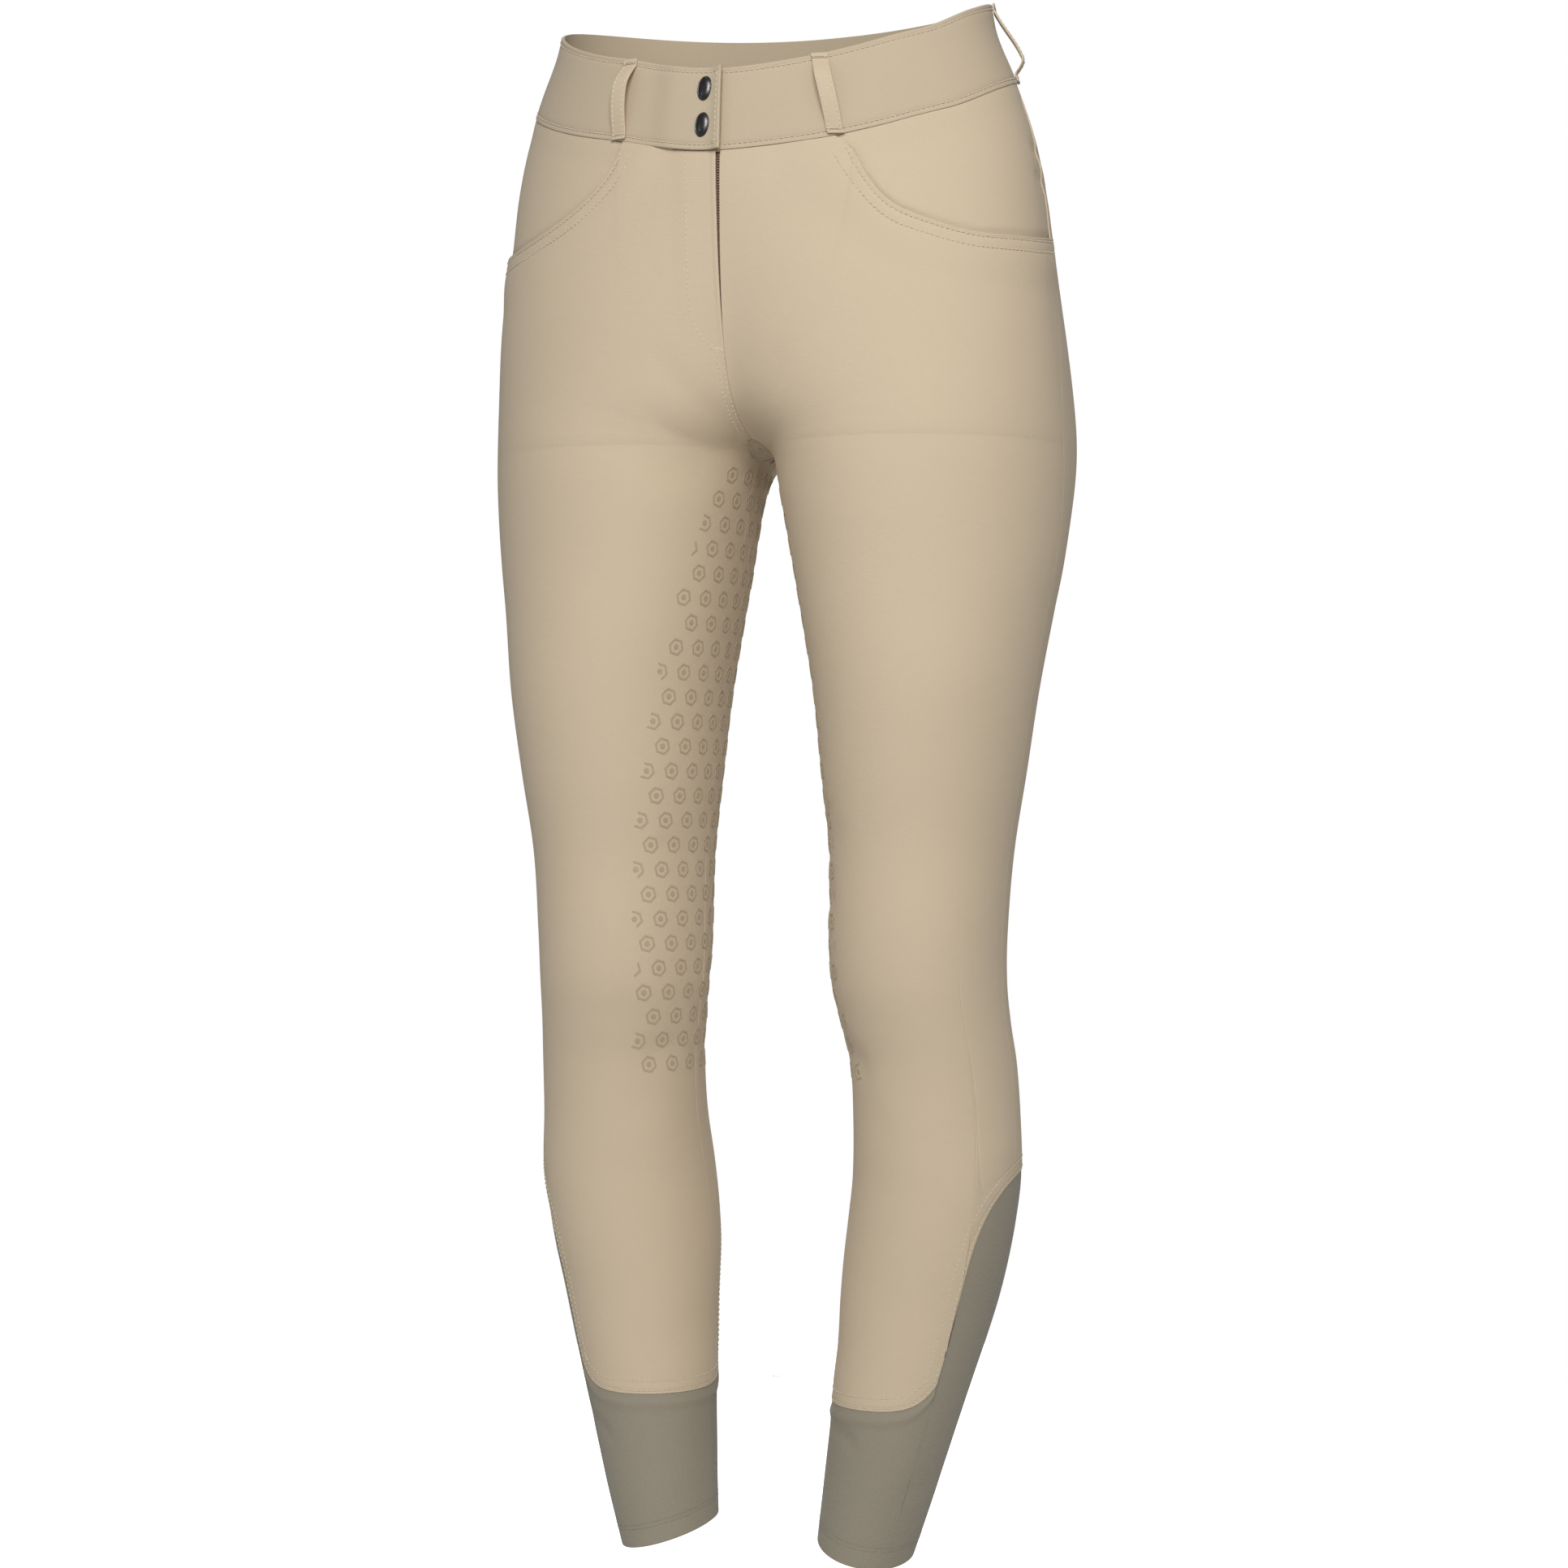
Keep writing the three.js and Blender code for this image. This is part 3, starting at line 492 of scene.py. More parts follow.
def tube_faces(rows, columns):
    """Triangles of a closed tube: a grid of rings, then a fan round each of the two middles that
    come after the grid."""
    r, c = np.meshgrid(np.arange(rows - 1), np.arange(columns), indexing="ij")
    a = (r * columns + c).ravel()
    b = (r * columns + (c + 1) % columns).ravel()
    c = np.arange(columns)
    following = (c + 1) % columns
    first_middle = rows * columns
    end = first_middle - columns
    return np.concatenate([
        np.stack([a, b, b + columns], 1),
        np.stack([a, b + columns, a + columns], 1),
        np.stack([np.full(columns, first_middle), following, c], 1),
        np.stack([np.full(columns, first_middle + 1), end + c, end + following], 1),
    ])


def wall_faces(rows, columns, ring):
    """Quads of a closed wall whose outer grid comes before its inner one. The faces point out when
    rows run down and columns run from the centre front to the wearer's left."""
    spans = columns if ring else columns - 1
    r, c = np.meshgrid(np.arange(rows - 1), np.arange(spans), indexing="ij")
    r, c = r.ravel(), c.ravel()
    inner = rows * columns

    def at(row, column):
        return row * columns + column % columns

    quads = [np.stack([at(r, c), at(r + 1, c), at(r + 1, c + 1), at(r, c + 1)], 1)]
    quads.append(inner + quads[0][:, ::-1])
    c = np.arange(spans)
    end = rows - 1
    quads.append(np.stack([at(0, c), at(0, c + 1), inner + at(0, c + 1), inner + at(0, c)], 1))
    quads.append(np.stack([at(end, c), inner + at(end, c), inner + at(end, c + 1), at(end, c + 1)], 1))
    if not ring:
        r = np.arange(rows - 1)
        k = columns - 1
        quads.append(np.stack([at(r, 0), inner + at(r, 0), inner + at(r + 1, 0), at(r + 1, 0)], 1))
        quads.append(np.stack([at(r, k), at(r + 1, k), inner + at(r + 1, k), inner + at(r, k)], 1))
    return np.concatenate(quads)


def running_length(points, axis):
    """Length along a grid of points from its first row or column."""
    steps = np.linalg.norm(np.diff(points, axis=axis), axis=-1)
    pad = [(0, 0), (0, 0)]
    pad[axis] = (1, 0)
    return np.pad(np.cumsum(steps, axis=axis), pad)


def turned_edge(away, radius):
    """Drop of a folded edge: a quarter circle of the radius, from its lip to its flat."""
    inside = np.clip(1 - away / radius, 0, 1)
    return radius * (1 - np.sqrt(1 - inside ** 2))


def edge_slant(points, row):
    """Share by which the way down a column shortens to the way square to a slanting edge row."""
    along = unit(np.gradient(points[row], axis=0))
    down = unit(points[1] - points[0] if row == 0 else points[-1] - points[-2])
    return np.linalg.norm(np.cross(along, down), axis=-1)


def lay_cloth(name, rounds, heights, lift, wall, material, side, edges, ring=False):
    """A cloth wall over the form. rounds and heights are grids, and the outer face is the form's
    point moved out by the lift. edges says for start, end, top, bottom and pocket mouth the radius of
    the turned edge, the places of the rows of stitches beside it, and how deep those draw the cloth in."""
    points = form_point(*settled(rounds, heights, side))
    normals = form_normal(points)
    across = running_length(points, 1)
    down = running_length(points, 0)
    away = {
        "start": across, "end": across[:, -1:] - across,
        "top": down * edge_slant(points, 0), "bottom": (down[-1:] - down) * edge_slant(points, -1),
    }
    if "mouth" in edges:
        away["mouth"] = way_to_mouth(rounds, heights)
    rise = lift(rounds, heights, side) + np.zeros_like(heights)
    under = rise.copy()
    for edge, (radius, stitch_rows, draw) in edges.items():
        if radius:
            rise = rise - turned_edge(away[edge], radius)
        for place in stitch_rows:
            rise = rise - draw * np.exp(-((away[edge] - place) / GROOVE) ** 2)
    outer = points + normals * rise[..., None]
    inner = points + normals * (under - wall)[..., None]
    if ring:
        outer, inner, across, down = outer[:, :-1], inner[:, :-1], across[:, :-1], down[:, :-1]
    rows, columns = outer.shape[:2]
    both = np.concatenate([outer.reshape(-1, 3), inner.reshape(-1, 3)])
    faces = wall_faces(rows, columns, ring)
    if side == RIGHT:
        both = both * (-1, 1, 1)
        faces = faces[:, ::-1]
    width = np.concatenate([across.ravel(), across.ravel()])
    length = np.concatenate([heights[:, :columns].ravel()] * 2)
    corners = np.stack([width[faces], length[faces]], -1)
    if ring:
        wide = corners[..., 0]
        seam = (wide.max(1) - wide.min(1)) > 60
        corners[seam, :, 0] = np.where(wide[seam] < 30, wide[seam] + across.max(), wide[seam])
    piece = write_mesh(name, both, faces, material, uv=corners.reshape(-1, 2) * MM)
    area = np.linalg.norm(np.cross(outer[1:, :-1] - outer[:-1, :-1],
                                   outer[:-1, 1:] - outer[:-1, :-1]), axis=-1).sum()
    piece["cloth_area"] = float(area * MM * MM)
    return piece


def close_steps(count, length, start=True, end=True, extra=()):
    """Shares from 0 to 1, evenly spaced, with fine steps beside the ends so that a turned edge
    is round. length is the way in mm."""
    fine = np.array([0, 0.08, 0.2, 0.36, 0.6, 0.95, 1.4, 2.0, 2.8, 3.8]) / length
    steps = [np.linspace(0, 1, count)]
    if start:
        steps.append(fine)
    if end:
        steps.append(1 - fine)
    steps.append(np.asarray(extra, float))
    return np.unique(np.round(np.concatenate(steps), 6))


def beside(round_, z, away):
    """A line on the form moved sideways by a way in mm, to the left of its course seen from
    outside. The sideways direction is the normal crossed with the course, and it is turned into
    steps of place and height by solving the two tangents' equations."""
    points = form_point(round_, z)
    normal = form_normal(points)
    course = unit(np.gradient(points, axis=0))
    want = np.cross(normal, course) * away
    step = 0.002
    a = (form_point(np.clip(round_ + step, -1, 1), z) - form_point(np.clip(round_ - step, -1, 1), z))
    a = a / (np.clip(round_ + step, -1, 1) - np.clip(round_ - step, -1, 1))[:, None]
    b = form_point(round_, z + 0.5) - form_point(round_, z - 0.5)
    aa, ab, bb = (a * a).sum(1), (a * b).sum(1), (b * b).sum(1)
    aw, bw = (a * want).sum(1), (b * want).sum(1)
    det = aa * bb - ab * ab
    return round_ + (aw * bb - bw * ab) / det, z + (bw * aa - aw * ab) / det


def cloth_line(round_, z, lift, side):
    """Points and normals of a line drawn on a lifted cloth."""
    points = form_point(*settled(round_, z, side))
    normals = form_normal(points)
    points = points + normals * (lift(round_, z, side) + np.zeros_like(z))[:, None]
    if side == RIGHT:
        return points * (-1, 1, 1), normals * (-1, 1, 1)
    return points, normals


def spaced(points, normals, pitch):
    """Stitch places: middles at one pitch along a line, with the course and normal there."""
    run = np.concatenate([[0], np.cumsum(np.linalg.norm(np.diff(points, axis=0), axis=1))])
    count = max(int(run[-1] / pitch), 1)
    at = (np.arange(count) + 0.5) * run[-1] / count
    where = np.stack([np.interp(at, run, points[:, k]) for k in range(3)], 1)
    ahead = np.stack([np.interp(at + 0.6, run, points[:, k]) for k in range(3)], 1)
    behind = np.stack([np.interp(at - 0.6, run, points[:, k]) for k in range(3)], 1)
    out = unit(np.stack([np.interp(at, run, normals[:, k]) for k in range(3)], 1))
    return where, unit(ahead - behind), out


# Section of one stitch: share along it, thickness there and rise of its middle
STITCH_RINGS = np.array([(-0.5, 0.25, -0.28), (-0.28, 0.9, 0.02), (0.28, 0.9, 0.02), (0.5, 0.25, -0.28)])


def stitch_mesh(places, courses, normals, length, width):
    """Threads lying on the cloth: four rings of four corners each, thick in the middle and dipping
    into the cloth at both ends."""
    sideways = np.cross(normals, courses)
    turn = np.arange(4) * np.pi / 2
    rings = []
    for share, thick, rise in STITCH_RINGS:
        middle = places + courses * share * length + normals * rise * width
        spread = width / 2 * thick
        ring = (middle[:, None] + sideways[:, None] * (np.cos(turn) * spread)[None, :, None]
                + normals[:, None] * (np.sin(turn) * spread)[None, :, None])
        rings.append(ring)
    points = np.stack(rings, 1).reshape(-1, 3)
    base = np.arange(len(places))[:, None] * 16
    k = np.arange(4)
    sides = [np.stack([4 * r + k, 4 * r + (k + 1) % 4, 4 * r + 4 + (k + 1) % 4, 4 * r + 4 + k], 1)
             for r in range(3)]
    caps = [np.array([[3, 2, 1, 0]]), np.array([[12, 13, 14, 15]])]
    pattern = np.concatenate(sides + caps)
    return points, (base[:, :, None] + pattern[None]).reshape(-1, 4)


def sew(name, lines, material, length=2.3, pitch=3.2, width=0.75):
    """One piece of many stitches along lines, each a pair of points and normals."""
    parts = []
    offset = 0
    faces = []
    for points, normals in lines:
        stitches, quads = stitch_mesh(*spaced(points, normals, pitch), length, width)
        parts.append(stitches)
        faces.append(quads + offset)
        offset += len(stitches)
    piece = write_mesh(name, np.concatenate(parts), np.concatenate(faces), material)
    return piece


# Materials

def shader(name, colour, roughness, metallic=0.0, sheen=0.0):
    """A node material with its colour, roughness and sheen on the shader's own sockets."""
    material = bpy.data.materials.new(name)
    material.use_nodes = True
    bsdf = material.node_tree.nodes["Principled BSDF"]
    bsdf.inputs["Base Color"].default_value = (*colour, 1)
    bsdf.inputs["Roughness"].default_value = roughness
    bsdf.inputs["Metallic"].default_value = metallic
    bsdf.inputs["Sheen Weight"].default_value = sheen
    bsdf.inputs["Sheen Roughness"].default_value = 0.5
    return material, bsdf


def add_node(material, kind, inputs=(), **settings):
    """A node with its settings, its plain inputs and its links."""
    node = material.node_tree.nodes.new(kind)
    for key, value in settings.items():
        setattr(node, key, value)
    for socket, value in dict(inputs).items():
        if isinstance(value, bpy.types.NodeSocket):
            material.node_tree.links.new(value, node.inputs[socket])
        else:
            node.inputs[socket].default_value = value
    return node


def add_bump(material, bsdf, height, strength, distance):
    """Drives the shader's normal from a height."""
    bump = add_node(material, "ShaderNodeBump", {
        "Height": height, "Strength": strength, "Distance": distance})
    material.node_tree.links.new(bump.outputs["Normal"], bsdf.inputs["Normal"])


def knit_material(name, colour, shade, rib, depth, roughness, sheen):
    """Knit cloth: fine wales across the cloth's own width and courses along its length, broken up
    by noise, with slow changes of shade. rib is the wales' spacing in metres."""
    material, bsdf = shader(name, colour, roughness, sheen=sheen)
    where = add_node(material, "ShaderNodeUVMap", uv_map="cloth").outputs["UV"]
    wales = add_node(material, "ShaderNodeTexWave", {
        "Vector": where, "Scale": 1 / (rib * math.pi), "Distortion": 1.2, "Detail": 1.0,
        "Detail Scale": 2.0}, bands_direction="X", wave_profile="SIN")
    courses = add_node(material, "ShaderNodeTexWave", {
        "Vector": where, "Scale": 0.8 / (rib * math.pi), "Distortion": 1.6, "Detail": 1.0,
        "Detail Scale": 2.0}, bands_direction="Y", wave_profile="SIN")
    grain = add_node(material, "ShaderNodeTexNoise", {
        "Vector": where, "Scale": 0.35 / rib, "Detail": 3.0, "Roughness": 0.6})
    knit = add_node(material, "ShaderNodeMath", {
        0: wales.outputs["Fac"], 1: courses.outputs["Fac"]}, operation="MULTIPLY")
    mixed = add_node(material, "ShaderNodeMath", {
        0: knit.outputs[0], 1: grain.outputs["Fac"]}, operation="ADD")
    add_bump(material, bsdf, mixed.outputs[0], 0.5, depth)
    place = add_node(material, "ShaderNodeTexCoord").outputs["Object"]
    slow = add_node(material, "ShaderNodeTexNoise", {"Vector": place, "Scale": 9.0, "Detail": 3.0})
    fine = add_node(material, "ShaderNodeTexNoise", {"Vector": where, "Scale": 900.0, "Detail": 2.0})
    both = add_node(material, "ShaderNodeMath", {
        0: slow.outputs["Fac"], 1: fine.outputs["Fac"]}, operation="ADD")
    half = add_node(material, "ShaderNodeMath", {0: both.outputs[0], 1: 0.5}, operation="MULTIPLY")
    ramp = add_node(material, "ShaderNodeValToRGB", {"Fac": half.outputs[0]})
    ramp.color_ramp.elements[0].position = 0.3
    ramp.color_ramp.elements[0].color = (*[c * (1 - shade) for c in colour], 1)
    ramp.color_ramp.elements[1].position = 0.7
    ramp.color_ramp.elements[1].color = (*[min(c * (1 + shade), 1) for c in colour], 1)
    material.node_tree.links.new(ramp.outputs["Color"], bsdf.inputs["Base Color"])
    return material


def thread_material(name, colour):
    """Twisted thread: fine slanting bands on the object's own place."""
    material, bsdf = shader(name, colour, 0.65, sheen=0.3)
    place = add_node(material, "ShaderNodeTexCoord").outputs["Object"]
    twist = add_node(material, "ShaderNodeTexWave", {
        "Vector": place, "Scale": 900.0, "Distortion": 0.5}, bands_direction="DIAGONAL")
    add_bump(material, bsdf, twist.outputs["Fac"], 0.4, 0.0001)
    return material


def metal_material(name, colour):
    """Dark satin metal with a faint cloudiness in its gloss."""
    material, bsdf = shader(name, colour, 0.3, metallic=1.0)
    place = add_node(material, "ShaderNodeTexCoord").outputs["Object"]
    cloud = add_node(material, "ShaderNodeTexNoise", {"Vector": place, "Scale": 900.0, "Detail": 4.0})
    rough = add_node(material, "ShaderNodeMapRange", {
        "Value": cloud.outputs["Fac"], "To Min": 0.2, "To Max": 0.38})
    material.node_tree.links.new(rough.outputs["Result"], bsdf.inputs["Roughness"])
    return material


def silicone_material(name, colour):
    """Thin silicone print: matt with a slight gloss and tiny unevenness."""
    material, bsdf = shader(name, colour, 0.45)
    place = add_node(material, "ShaderNodeTexCoord").outputs["Object"]
    cloud = add_node(material, "ShaderNodeTexNoise", {"Vector": place, "Scale": 700.0, "Detail": 3.0})
    add_bump(material, bsdf, cloud.outputs["Fac"], 0.3, 0.0002)
    return material


def plain_stage_material(name, colour):
    """Pale matt floor that the camera sees as white."""
    material, bsdf = shader(name, colour, 0.9)
    bsdf.inputs["Emission Color"].default_value = (1, 1, 1, 1)
    seen = add_node(material, "ShaderNodeLightPath").outputs["Is Camera Ray"]
    material.node_tree.links.new(seen, bsdf.inputs["Emission Strength"])
    return material


def stretch_knit(name, colour):
    """The smooth stretch knit of the panels and the waistband, in a colour."""
    return knit_material(name, colour, 0.035, 0.00055, 0.00012, 0.85, 0.07)


MATERIALS = {}
BAND_SHADE = 0.88


def material_for(kind):
    """The part's materials, each made once from the user's colours."""
    if kind not in MATERIALS:
        c = bpy.context.scene.breeches_colours
        cloth, cuff = tuple(c.cloth), tuple(c.cuff)
        makers = {
            "cloth": lambda: stretch_knit("knit_cloth", cloth),
            "band": lambda: stretch_knit("band_cloth", tuple(BAND_SHADE * part for part in cloth)),
            "facing": lambda: stretch_knit("facing_cloth", cloth),
            "cuff": lambda: knit_material("cuff_jersey", cuff, 0.05, 0.0008, 0.0002, 0.9, 0.1),
            "thread": lambda: thread_material("sewing_thread", tuple(c.thread)),
            "cuff_thread": lambda: thread_material("cuff_thread", cuff),
            "zip": lambda: thread_material("zip_tape", tuple(c.zip)),
            "metal": lambda: metal_material("dark_metal", tuple(c.metal)),
            "grip": lambda: silicone_material("grip_silicone", tuple(c.grip)),
            "stage": lambda: plain_stage_material("pale_floor", (0.72, 0.72, 0.72)),
        }
        MATERIALS[kind] = makers[kind]()
    return MATERIALS[kind]


# Grids of places for the panels

def leg_rows():
    """Heights of the rows from LEG_TOP_Z to LEG_LOW_Z, close together round the crotch."""
    even = np.linspace(LEG_TOP_Z, LEG_LOW_Z, 150)
    away = np.array([0, 0.3, 0.8, 1.6, 2.8, 4.5, 7, 10, 14, 19])
    return np.unique(np.concatenate([even, CROTCH_Z + away, CROTCH_Z - away]))[::-1]


def panel_heights(top, bottom):
    """Rows of a leg panel, one column for each place: from its top line, through level rows over
    the thigh and knee, to its bottom line."""
    upper = close_steps(34, 80, end=False)[:, None]
    lower = close_steps(44, 130, start=False)[:, None]
    levels = leg_rows()[:, None] + np.zeros_like(top)
    above = mix(top[None], LEG_TOP_Z, upper)[:-1]
    below = mix(LEG_LOW_Z, bottom[None], lower)[1:]
    return np.concatenate([above, levels, below])


def fly_set_back(z):
    """How far the left front's edge is set back at the fly."""
    return FLY_GAP * np.clip((z - FLY_BOTTOM_Z) / (FLY_TOP_Z - FLY_BOTTOM_Z), 0, 1)


def lay_front(side):
    """A front panel, from the waist seam or pocket mouth to the cuff."""
    mouth_steps = 0.236 + np.array([0.0006, 0.002, 0.0045, 0.008, 0.0125, 0.018, 0.025, 0.033])
    tongue_steps = 0.765 + np.linspace(-0.006, 0.03, 13)
    shares = close_steps(62, 190, extra=[*mouth_steps, *tongue_steps])
    top = front_top(mix(-1, SIDE_SEAM_BACKWARD, shares))
    heights = panel_heights(top, cuff_seam(mix(-1, 0, shares)))
    start = -1 + (fly_set_back(heights[:, :1]) / ROUND_SCALE if side == LEFT else 0)
    rounds = mix(start, side_seam(heights), shares[None])
    edges = {
        "start": (0.6, (), 0), "end": (0.45, (), 0),
        "top": (0.55, (), 0), "mouth": (0, MOUTH_ROWS, 0.45), "bottom": (0.5, CUFF_SEAM_ROWS, 0.3),
    }
    name = f"front_{SIDE_NAMES[side]}_cloth"
    piece = lay_cloth(name, rounds, heights, front_lift, CLOTH_WALL, material_for("cloth"), side, edges)
    return declare(piece, f"front_{SIDE_NAMES[side]}")


def lay_back(side):
    """A back panel, from the waist seam over the seat to the cuff."""
    tongue_steps = 0.795 + np.linspace(-0.03, 0.006, 13)
    shares = close_steps(62, 190, extra=tongue_steps)
    top = waist_seam(mix(SIDE_SEAM_BACKWARD, 1, shares))
    heights = panel_heights(top, cuff_seam(shares))
    rounds = mix(side_seam(heights), 1, shares[None])
    edges = {
        "start": (0.45, (), 0), "end": (0.5, (), 0),
        "top": (0.5, (), 0), "bottom": (0.5, CUFF_SEAM_ROWS, 0.3),
    }
    name = f"back_{SIDE_NAMES[side]}_cloth"
    piece = lay_cloth(name, rounds, heights, folds, CLOTH_WALL, material_for("cloth"), side, edges)
    return declare(piece, f"back_{SIDE_NAMES[side]}")


def lay_facing(side):
    """A pocket facing, running a little way under the front panel's edge."""
    shares = close_steps(48, 150, start=False)
    rounds = mix(-0.8, SIDE_SEAM_BACKWARD, shares)
    low = np.minimum(pocket_mouth(np.minimum(rounds + 0.05, SIDE_SEAM_BACKWARD)), pocket_mouth(rounds))
    heights = mix(waist_seam(rounds)[None], low[None] - 8, close_steps(34, 80)[:, None])
    rounds = np.minimum(mix(-0.8, side_seam(heights), shares[None]), SIDE_SEAM_BACKWARD)
    edges = {"end": (0.45, (), 0), "top": (0.5, (), 0)}
    name = f"pocket_facing_{SIDE_NAMES[side]}_cloth"
    piece = lay_cloth(name, rounds, heights, facing_lift, CLOTH_WALL, material_for("facing"), side, edges)
    return declare(piece, f"pocket_facing_{SIDE_NAMES[side]}")


def lay_waistband(side):
    """One half of the waistband. The left one runs on past the centre front under the right one."""
    first = -2 - LAP_FULL if side == LEFT else -1 - LAP_END
    shares = close_steps(150, 390)
    line = mix(first, 1, shares)
    folded = np.where(line < -1, -2 - line, line)
    heights = mix(waist_top(folded)[None], waist_seam(folded)[None], close_steps(26, BAND_HEIGHT)[:, None])
    rounds = line[None] + np.zeros_like(heights)
    edges = {
        "start": (0.9, (), 0), "end": (0.45, (), 0),
        "top": (1.0, (BAND_ROW,), 0.45), "bottom": (0.5, (BAND_ROW,), 0.45),
    }
    name = f"waistband_{SIDE_NAMES[side]}_cloth"
    piece = lay_cloth(name, rounds, heights, band_lift, BAND_WALL, material_for("band"), side, edges)
    return declare(piece, f"waistband_{SIDE_NAMES[side]}")


def lay_cuff(side):
    """An ankle cuff: a tube of jersey with its tongue up the outer back of the calf."""
    tongue = np.linspace(-0.012, 0.03, 12)
    extra = [*((TONGUE_MIDDLE - TONGUE_HALF_WIDTH + 1 + tongue) / 2),
             *((TONGUE_MIDDLE + TONGUE_HALF_WIDTH + 1 - tongue) / 2)]
    shares = close_steps(110, 300, start=False, end=False, extra=extra)
    line = mix(-1, 1, shares)
    heights = mix(cuff_seam(line)[None], hem_edge(line)[None], close_steps(70, 100)[:, None])
    rounds = line[None] + np.zeros_like(heights)
    edges = {"top": (0.3, (), 0), "bottom": (0.8, HEM_ROWS, 0.12)}
    name = f"cuff_{SIDE_NAMES[side]}_jersey"
    piece = lay_cloth(name, rounds, heights, cuff_lift, CUFF_WALL, material_for("cuff"), side, edges, True)
    return declare(piece, f"cuff_{SIDE_NAMES[side]}")


def declare(piece, node):
    """Hides the solid that the cloth stands for. The cloth_area that lay_cloth sets, roughly the flat size
    that the cloth was cut to, is the built outer face's own, at most the rectangle's, so it allows for no
    stretch of the knit."""
    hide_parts(node)
    return piece


# Belt loops, snaps and fly

def loop_point(loop, share, across, lift):
    """A point of a belt loop, before the right ones are mirrored: the form's point beside the loop's
    middle line, moved out by the band and by a rise that is a quarter of a sine at each end."""
    _, at_round, stand_off, upper_bend, lower_bend, side = loop
    width = bpy.context.scene.breeches_sizes.loop_width / MM
    share, across, lift = np.broadcast_arrays(share, across, lift)
    middle, z = settled(at_round, mix(waist_top(at_round) - 0.5, waist_seam(at_round) + 0.5, share), side)
    rounds = middle + across * width / mm_per_round(np.minimum(middle, 1), z)
    points = form_point(rounds, z)
    normals = form_normal(points)
    along = np.clip((share - 0.1) / 0.8, 0, 1)
    leave = np.sin(np.pi / 2 * np.minimum(along / upper_bend, 1))
    land = np.sin(np.pi / 2 * np.minimum((1 - along) / lower_bend, 1))
    out = BAND_LIFT + SEAM_GAP + stand_off * leave * land + lift
    return points + normals * out[..., None], normals


def lay_belt_loop(loop):
    """A belt loop: a folded strip whose section is a flat oval with two stitched valleys, carried
    along the loop and pressed in at its bar tacks."""
    name, side = loop[0], loop[-1]
    width = bpy.context.scene.breeches_sizes.loop_width / MM
    turn = np.linspace(0, 2 * np.pi, 29)[:-1]
    squarer = 0.35
    across = 0.5 * np.sign(np.cos(turn)) * np.abs(np.cos(turn)) ** squarer
    thick = LOOP_WALL / 2 * (1 + np.sign(np.sin(turn)) * np.abs(np.sin(turn)) ** squarer)
    valley = 0.16 * np.exp(-((np.abs(across) - LOOP_ROW) / 0.05) ** 2)
    thick = np.where(thick > LOOP_WALL / 2, thick - valley, thick)
    share = np.linspace(0, 1, 57)[:, None] + 0 * turn[None]
    pillow = 1 - 0.35 * np.exp(-((share - 0.06) / 0.03) ** 2) - 0.35 * np.exp(-((share - 0.94) / 0.03) ** 2)
    points, _ = loop_point(loop, share, across[None], thick[None] * pillow)
    rows, columns = share.shape
    middles = np.array([points[0].mean(0), points[-1].mean(0)])
    points = np.concatenate([points.reshape(-1, 3), middles])
    tris = tube_faces(rows, columns)
    if side == RIGHT:
        points = points * (-1, 1, 1)
        tris = tris[:, ::-1]
    run = np.concatenate([np.tile(across * width, rows), [0, 0]])
    length = np.concatenate([np.repeat(share[:, 0] * BAND_HEIGHT, columns), [0, BAND_HEIGHT]])
    uv = np.stack([run[tris], length[tris]], -1).reshape(-1, 2) * MM
    piece = write_mesh(f"{name}_cloth", points, tris, material_for("cloth"), uv=uv)
    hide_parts(name)
    return piece


def loop_line(loop, share, across):
    """A line of thread on a belt loop, down it or across it."""
    points, normals = loop_point(loop, share, across, 1.5)
    return points * (loop[-1], 1, 1), normals * (loop[-1], 1, 1)


# Belt loops: node, place round, stand-off, share of the upper bend, share of the lower bend, side
LOOPS = (
    ("belt_loop_front_right", -0.738, 6, 0.35, 0.65, RIGHT),
    ("belt_loop_front_left", -0.738, 6, 0.35, 0.65, LEFT),
    ("belt_loop_side_right", 0.12, 8, 0.82, 0.18, RIGHT),
    ("belt_loop_side_left", 0.12, 8, 0.82, 0.18, LEFT),
    ("belt_loop_back", 1.0, 6.5, 0.3, 0.3, LEFT),
)
LOOP_ROW = 0.34

# Snap cap from its middle to its foot: share of the radius, and height over the band
SNAP_PROFILE = np.array([
    (0.0, 1.95), (0.2, 1.92), (0.38, 1.84), (0.52, 1.72), (0.64, 1.54), (0.73, 1.32), (0.79, 1.12),
    (0.83, 1.12), (0.87, 1.28), (0.92, 1.24), (0.97, 0.98), (1.0, 0.5), (0.96, 0.0),
])
SNAPS = (("snap_upper", -0.971, -62), ("snap_lower", -0.969, -84))
SNAP_HEIGHT = 15
SNAP_WIDTH = 9.2
SNAP_GAP = 0.05
SNAP_TILT = math.radians(7)


